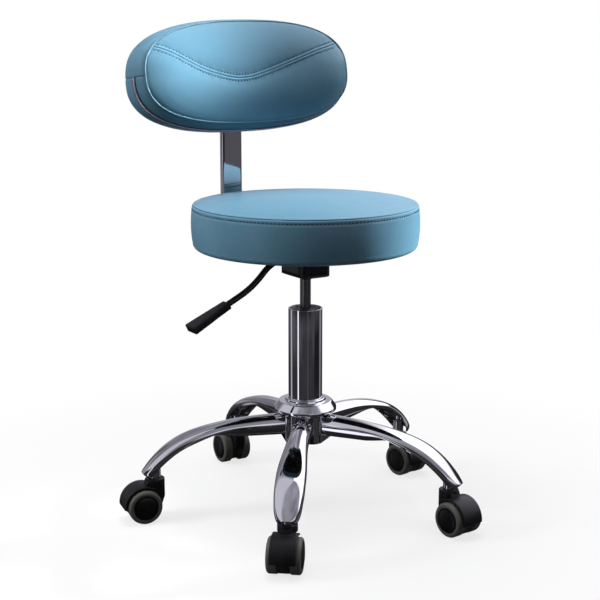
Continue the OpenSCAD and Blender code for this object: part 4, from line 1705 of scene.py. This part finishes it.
@dataclass
class Studio:
    """A plain pale floor, soft lamps, a room for the chrome to mirror, and the camera."""

    camera_at: tuple[float, float, float] = (-1.01706, -1.56613, 0.7215)
    camera_turn: tuple[float, float, float] = (77.807, 0.0, -32.76)
    lens: float = 78.617
    levels: tuple[tuple[float, float], ...] = (
        (0.02, 0.01), (0.28, 0.02), (0.34, 0.035), (0.40, 0.04), (0.43, 0.11), (0.455, 0.11),
        (0.475, 0.02), (0.56, 0.02), (0.62, 0.03), (0.645, 0.30), (0.77, 0.36), (0.90, 0.45), (0.98, 0.5),
    )
    windows: tuple[Window, ...] = (
        Window(-20, 45, 0.042, -0.27, -0.09),
        Window(51, 24, 0.014, -0.27, -0.09),
        Window(33, 30, 0.10, -0.05, 0.09),
        Window(-82, 5, 1.3),
        Window(-141, 9, 0.5, -0.36),
        Window(-16, 2, 0.12),
        Window(86, 6, 0.4),
        Window(150, 16, 0.5, -0.36),
        Window(5, 26, 0.8, 0.12, 0.40),
        Window(88, 55, 1.8, 0.30, 1.2),
        Window(-110, 45, 0.65, 0.30, 1.2),
        Window(164, 16, 0.35, -0.03, 0.25),
        Window(-166, 14, 0.35, -0.03, 0.25),
    )
    lamps: tuple[Lamp, ...] = (
        Lamp("top", (-0.10, 0.20, 2.3), (0, 0.05, 0.45), 31, (1.6, 1.6)),
        Lamp("over", (0.05, -0.06, 2.2), (-0.05, 0, 0.45), 0.15, (0.25, 0.25), 14),
        Lamp("left", (-1.88, 0.68, 1.16), (0, 0.05, 0.20), 1.65, (0.6, 0.6), 40),
        Lamp("right", (1.78, -0.32, 0.88), (0.10, -0.15, 0.37), 2.25, (0.7, 0.08), 16),
        Lamp("edge", (1.60, 0.20, 0.90), (0.17, 0.14, 0.65), 0.035, (0.10, 0.10), 8),
        Lamp("gridded", (0.85, -0.85, 1.50), (-0.165, 0.135, 0.630), 0.26, (0.12, 0.10), 9.5),
    )
    fill: float = 0.185
    floor_r: float = 6.0
    room_r: float = 4.5
    soft_edge: float = 0.04

    def build(self) -> None:
        """Set the studio up."""
        scene = bpy.context.scene
        scene.view_settings.view_transform = "Standard"
        self.world()
        self.floor()
        self.dome()
        for lamp in self.lamps:
            self.hang(lamp)
        self.camera()

    def world(self) -> None:
        """Make the world white where it is seen or mirrored, and a dim even fill for the rest.

        The mirrored room stands in front of it for gloss.
        """
        world = bpy.data.worlds.new("studio")
        bpy.context.scene.world = world
        world.use_nodes = True
        tree = world.node_tree
        path = tree.nodes.new("ShaderNodeLightPath")
        seen = tree.nodes.new("ShaderNodeMath")
        seen.operation = "MAXIMUM"
        tree.links.new(path.outputs["Is Camera Ray"], seen.inputs[0])
        mirrored = tree.nodes.new("ShaderNodeMath")
        mirrored.operation = "MAXIMUM"
        tree.links.new(path.outputs["Is Glossy Ray"], mirrored.inputs[0])
        tree.links.new(path.outputs["Is Transmission Ray"], mirrored.inputs[1])
        tree.links.new(mirrored.outputs[0], seen.inputs[1])
        level = tree.nodes.new("ShaderNodeMapRange")
        level.inputs["To Min"].default_value = self.fill
        level.inputs["To Max"].default_value = 1.0
        tree.links.new(seen.outputs[0], level.inputs["Value"])
        back = tree.nodes["Background"]
        back.inputs["Color"].default_value = (1, 1, 1, 1)
        tree.links.new(level.outputs["Result"], back.inputs["Strength"])

    def floor(self) -> None:
        """Lay a pale floor that keeps the shadow and fades to white with distance."""
        bm = bmesh.new()
        bmesh.ops.create_circle(bm, cap_ends=True, segments=96, radius=self.floor_r)
        floor = self.stand("floor", bm, self.floor_finish())
        floor.location.z = -0.0005
        floor.visible_glossy = False

    def floor_finish(self) -> Material:
        """Mix the floor's finish: matt and pale, lifted to white away from the stool, dimmer in its bounce.

        Returns:
            The material.
        """
        g = Graph("pale_floor")
        seen = g.add("ShaderNodeLightPath").outputs["Is Camera Ray"]
        tone = g.blend(seen, (0.10, 0.10, 0.105, 1), (0.95, 0.95, 0.96, 1))
        g.set(Base_Color=tone, Roughness=0.9, Specular_IOR_Level=0.0)
        away = g.add("ShaderNodeVectorMath", {0: g.place}, operation="LENGTH").outputs["Value"]
        far = g.fit(away, 0.76, 1.0, 0.25, 0.75)
        white = g.add("ShaderNodeEmission", {"Color": (1, 1, 1, 1), "Strength": 1.0}).outputs["Emission"]
        share = g.maths("MULTIPLY", far, seen)
        mixed = g.add("ShaderNodeMixShader", {0: share, 1: g.shader.outputs[0], 2: white})
        g.feed(g.tree.nodes["Material Output"].inputs["Surface"], mixed.outputs[0])
        return g.material

    def stand(self, name: str, bm: BMesh, finish: Material) -> Object:
        """Make a mesh part of the stage.

        Args:
            name: Name of the object.
            bm: Its mesh, which is freed.
            finish: Its material.

        Returns:
            The new object.
        """
        mesh = bpy.data.meshes.new(name)
        bm.to_mesh(mesh)
        bm.free()
        mesh.materials.append(finish)
        thing = bpy.data.objects.new(name, mesh)
        bpy.context.scene.collection.objects.link(thing)
        return thing

    def dome(self) -> None:
        """Put a room round the stool that only gloss sees: dark, with a pale ceiling and bright windows."""
        bm = bmesh.new()
        bmesh.ops.create_uvsphere(bm, u_segments=64, v_segments=32, radius=self.room_r)
        dome = self.stand("mirrored_room", bm, self.dome_finish())
        dome.visible_camera = dome.visible_diffuse = dome.visible_shadow = False
        dome.visible_transmission = dome.visible_volume_scatter = False

    def dome_finish(self) -> Material:
        """Mix the room's glow by direction: its levels by height, and windows by bearing.

        Returns:
            The material.
        """
        g, edge = Graph("mirrored_room"), self.soft_edge
        way = g.add("ShaderNodeVectorMath", {0: g.place}, operation="NORMALIZE").outputs["Vector"]
        x, y, z = g.add("ShaderNodeSeparateXYZ", {0: way}).outputs
        ramp = g.add("ShaderNodeValToRGB", {0: g.fit(z, 0, 1, -1, 1)})
        stops = ramp.color_ramp.elements
        for place, level in self.levels:
            stop = stops.new(place)
            stop.color = (level * 0.97, level * 0.96, level * 1.10, 1)
        stops.remove(stops[0])
        stops.remove(stops[-1])
        glow = g.blend(g.fit(g.noise(0.55, 3), 0, 0.6), ramp.outputs["Color"], (0.03, 0.027, 0.026, 1))
        bearing = g.maths("ARCTAN2", x, g.maths("MULTIPLY", y, -1.0))
        for pane in self.windows:
            off = g.maths("ABSOLUTE", g.maths("SUBTRACT", bearing, math.radians(pane.bearing)), 0.0)
            share = g.fit(off, 1, 0, math.radians(pane.half) * 0.7, math.radians(pane.half))
            share = g.maths("MULTIPLY", share, g.fit(z, 1, 0, pane.high - edge, pane.high + edge))
            share = g.maths("MULTIPLY", share, g.fit(z, 0, 1, pane.low - edge, pane.low + edge))
            glow = g.blend(share, glow, (pane.glow * 0.98, pane.glow * 0.97, pane.glow * 1.08, 1))
        light = g.add("ShaderNodeEmission", {"Color": glow, "Strength": 1.0}).outputs["Emission"]
        g.feed(g.tree.nodes["Material Output"].inputs["Surface"], light)
        return g.material

    def hang(self, lamp: Lamp) -> None:
        """Hang one lamp, which gloss doesn't see.

        Args:
            lamp: The lamp; a beam under 180 degrees stands for a grid in front of its cloth.
        """
        light = bpy.data.lights.new(lamp.name, "AREA")
        light.shape, light.energy = "RECTANGLE", lamp.watts
        light.size, light.size_y = lamp.size
        light.spread = math.radians(lamp.beam)
        holder = bpy.data.objects.new(lamp.name, light)
        holder.visible_glossy = False
        holder.location = lamp.at
        holder.rotation_euler = (Vector(lamp.aim) - Vector(lamp.at)).to_track_quat("-Z", "Y").to_euler()
        bpy.context.scene.collection.objects.link(holder)

    def camera(self) -> None:
        """Put the camera where the photographer stood."""
        data = bpy.data.cameras.new("camera")
        data.lens, data.sensor_width = self.lens, 36
        camera = bpy.data.objects.new("camera", data)
        camera.location = self.camera_at
        camera.rotation_euler = [math.radians(a) for a in self.camera_turn]
        bpy.context.scene.collection.objects.link(camera)
        bpy.context.scene.camera = camera


def main() -> None:
    """Build every sub-assembly in order, then the studio."""
    logging.basicConfig(level=logging.INFO, format="%(name)s: %(message)s")
    finishes = Finishes()
    for part in (SeatPad, Backrest, BackBar, StarBase, GasLift, LiftBracket, Lever):
        part(finishes).build()
    for number in range(1, StarBase.legs + 1):
        Caster(finishes, number=number).build()
    Studio().build()


if __name__ == "__main__":
    main()
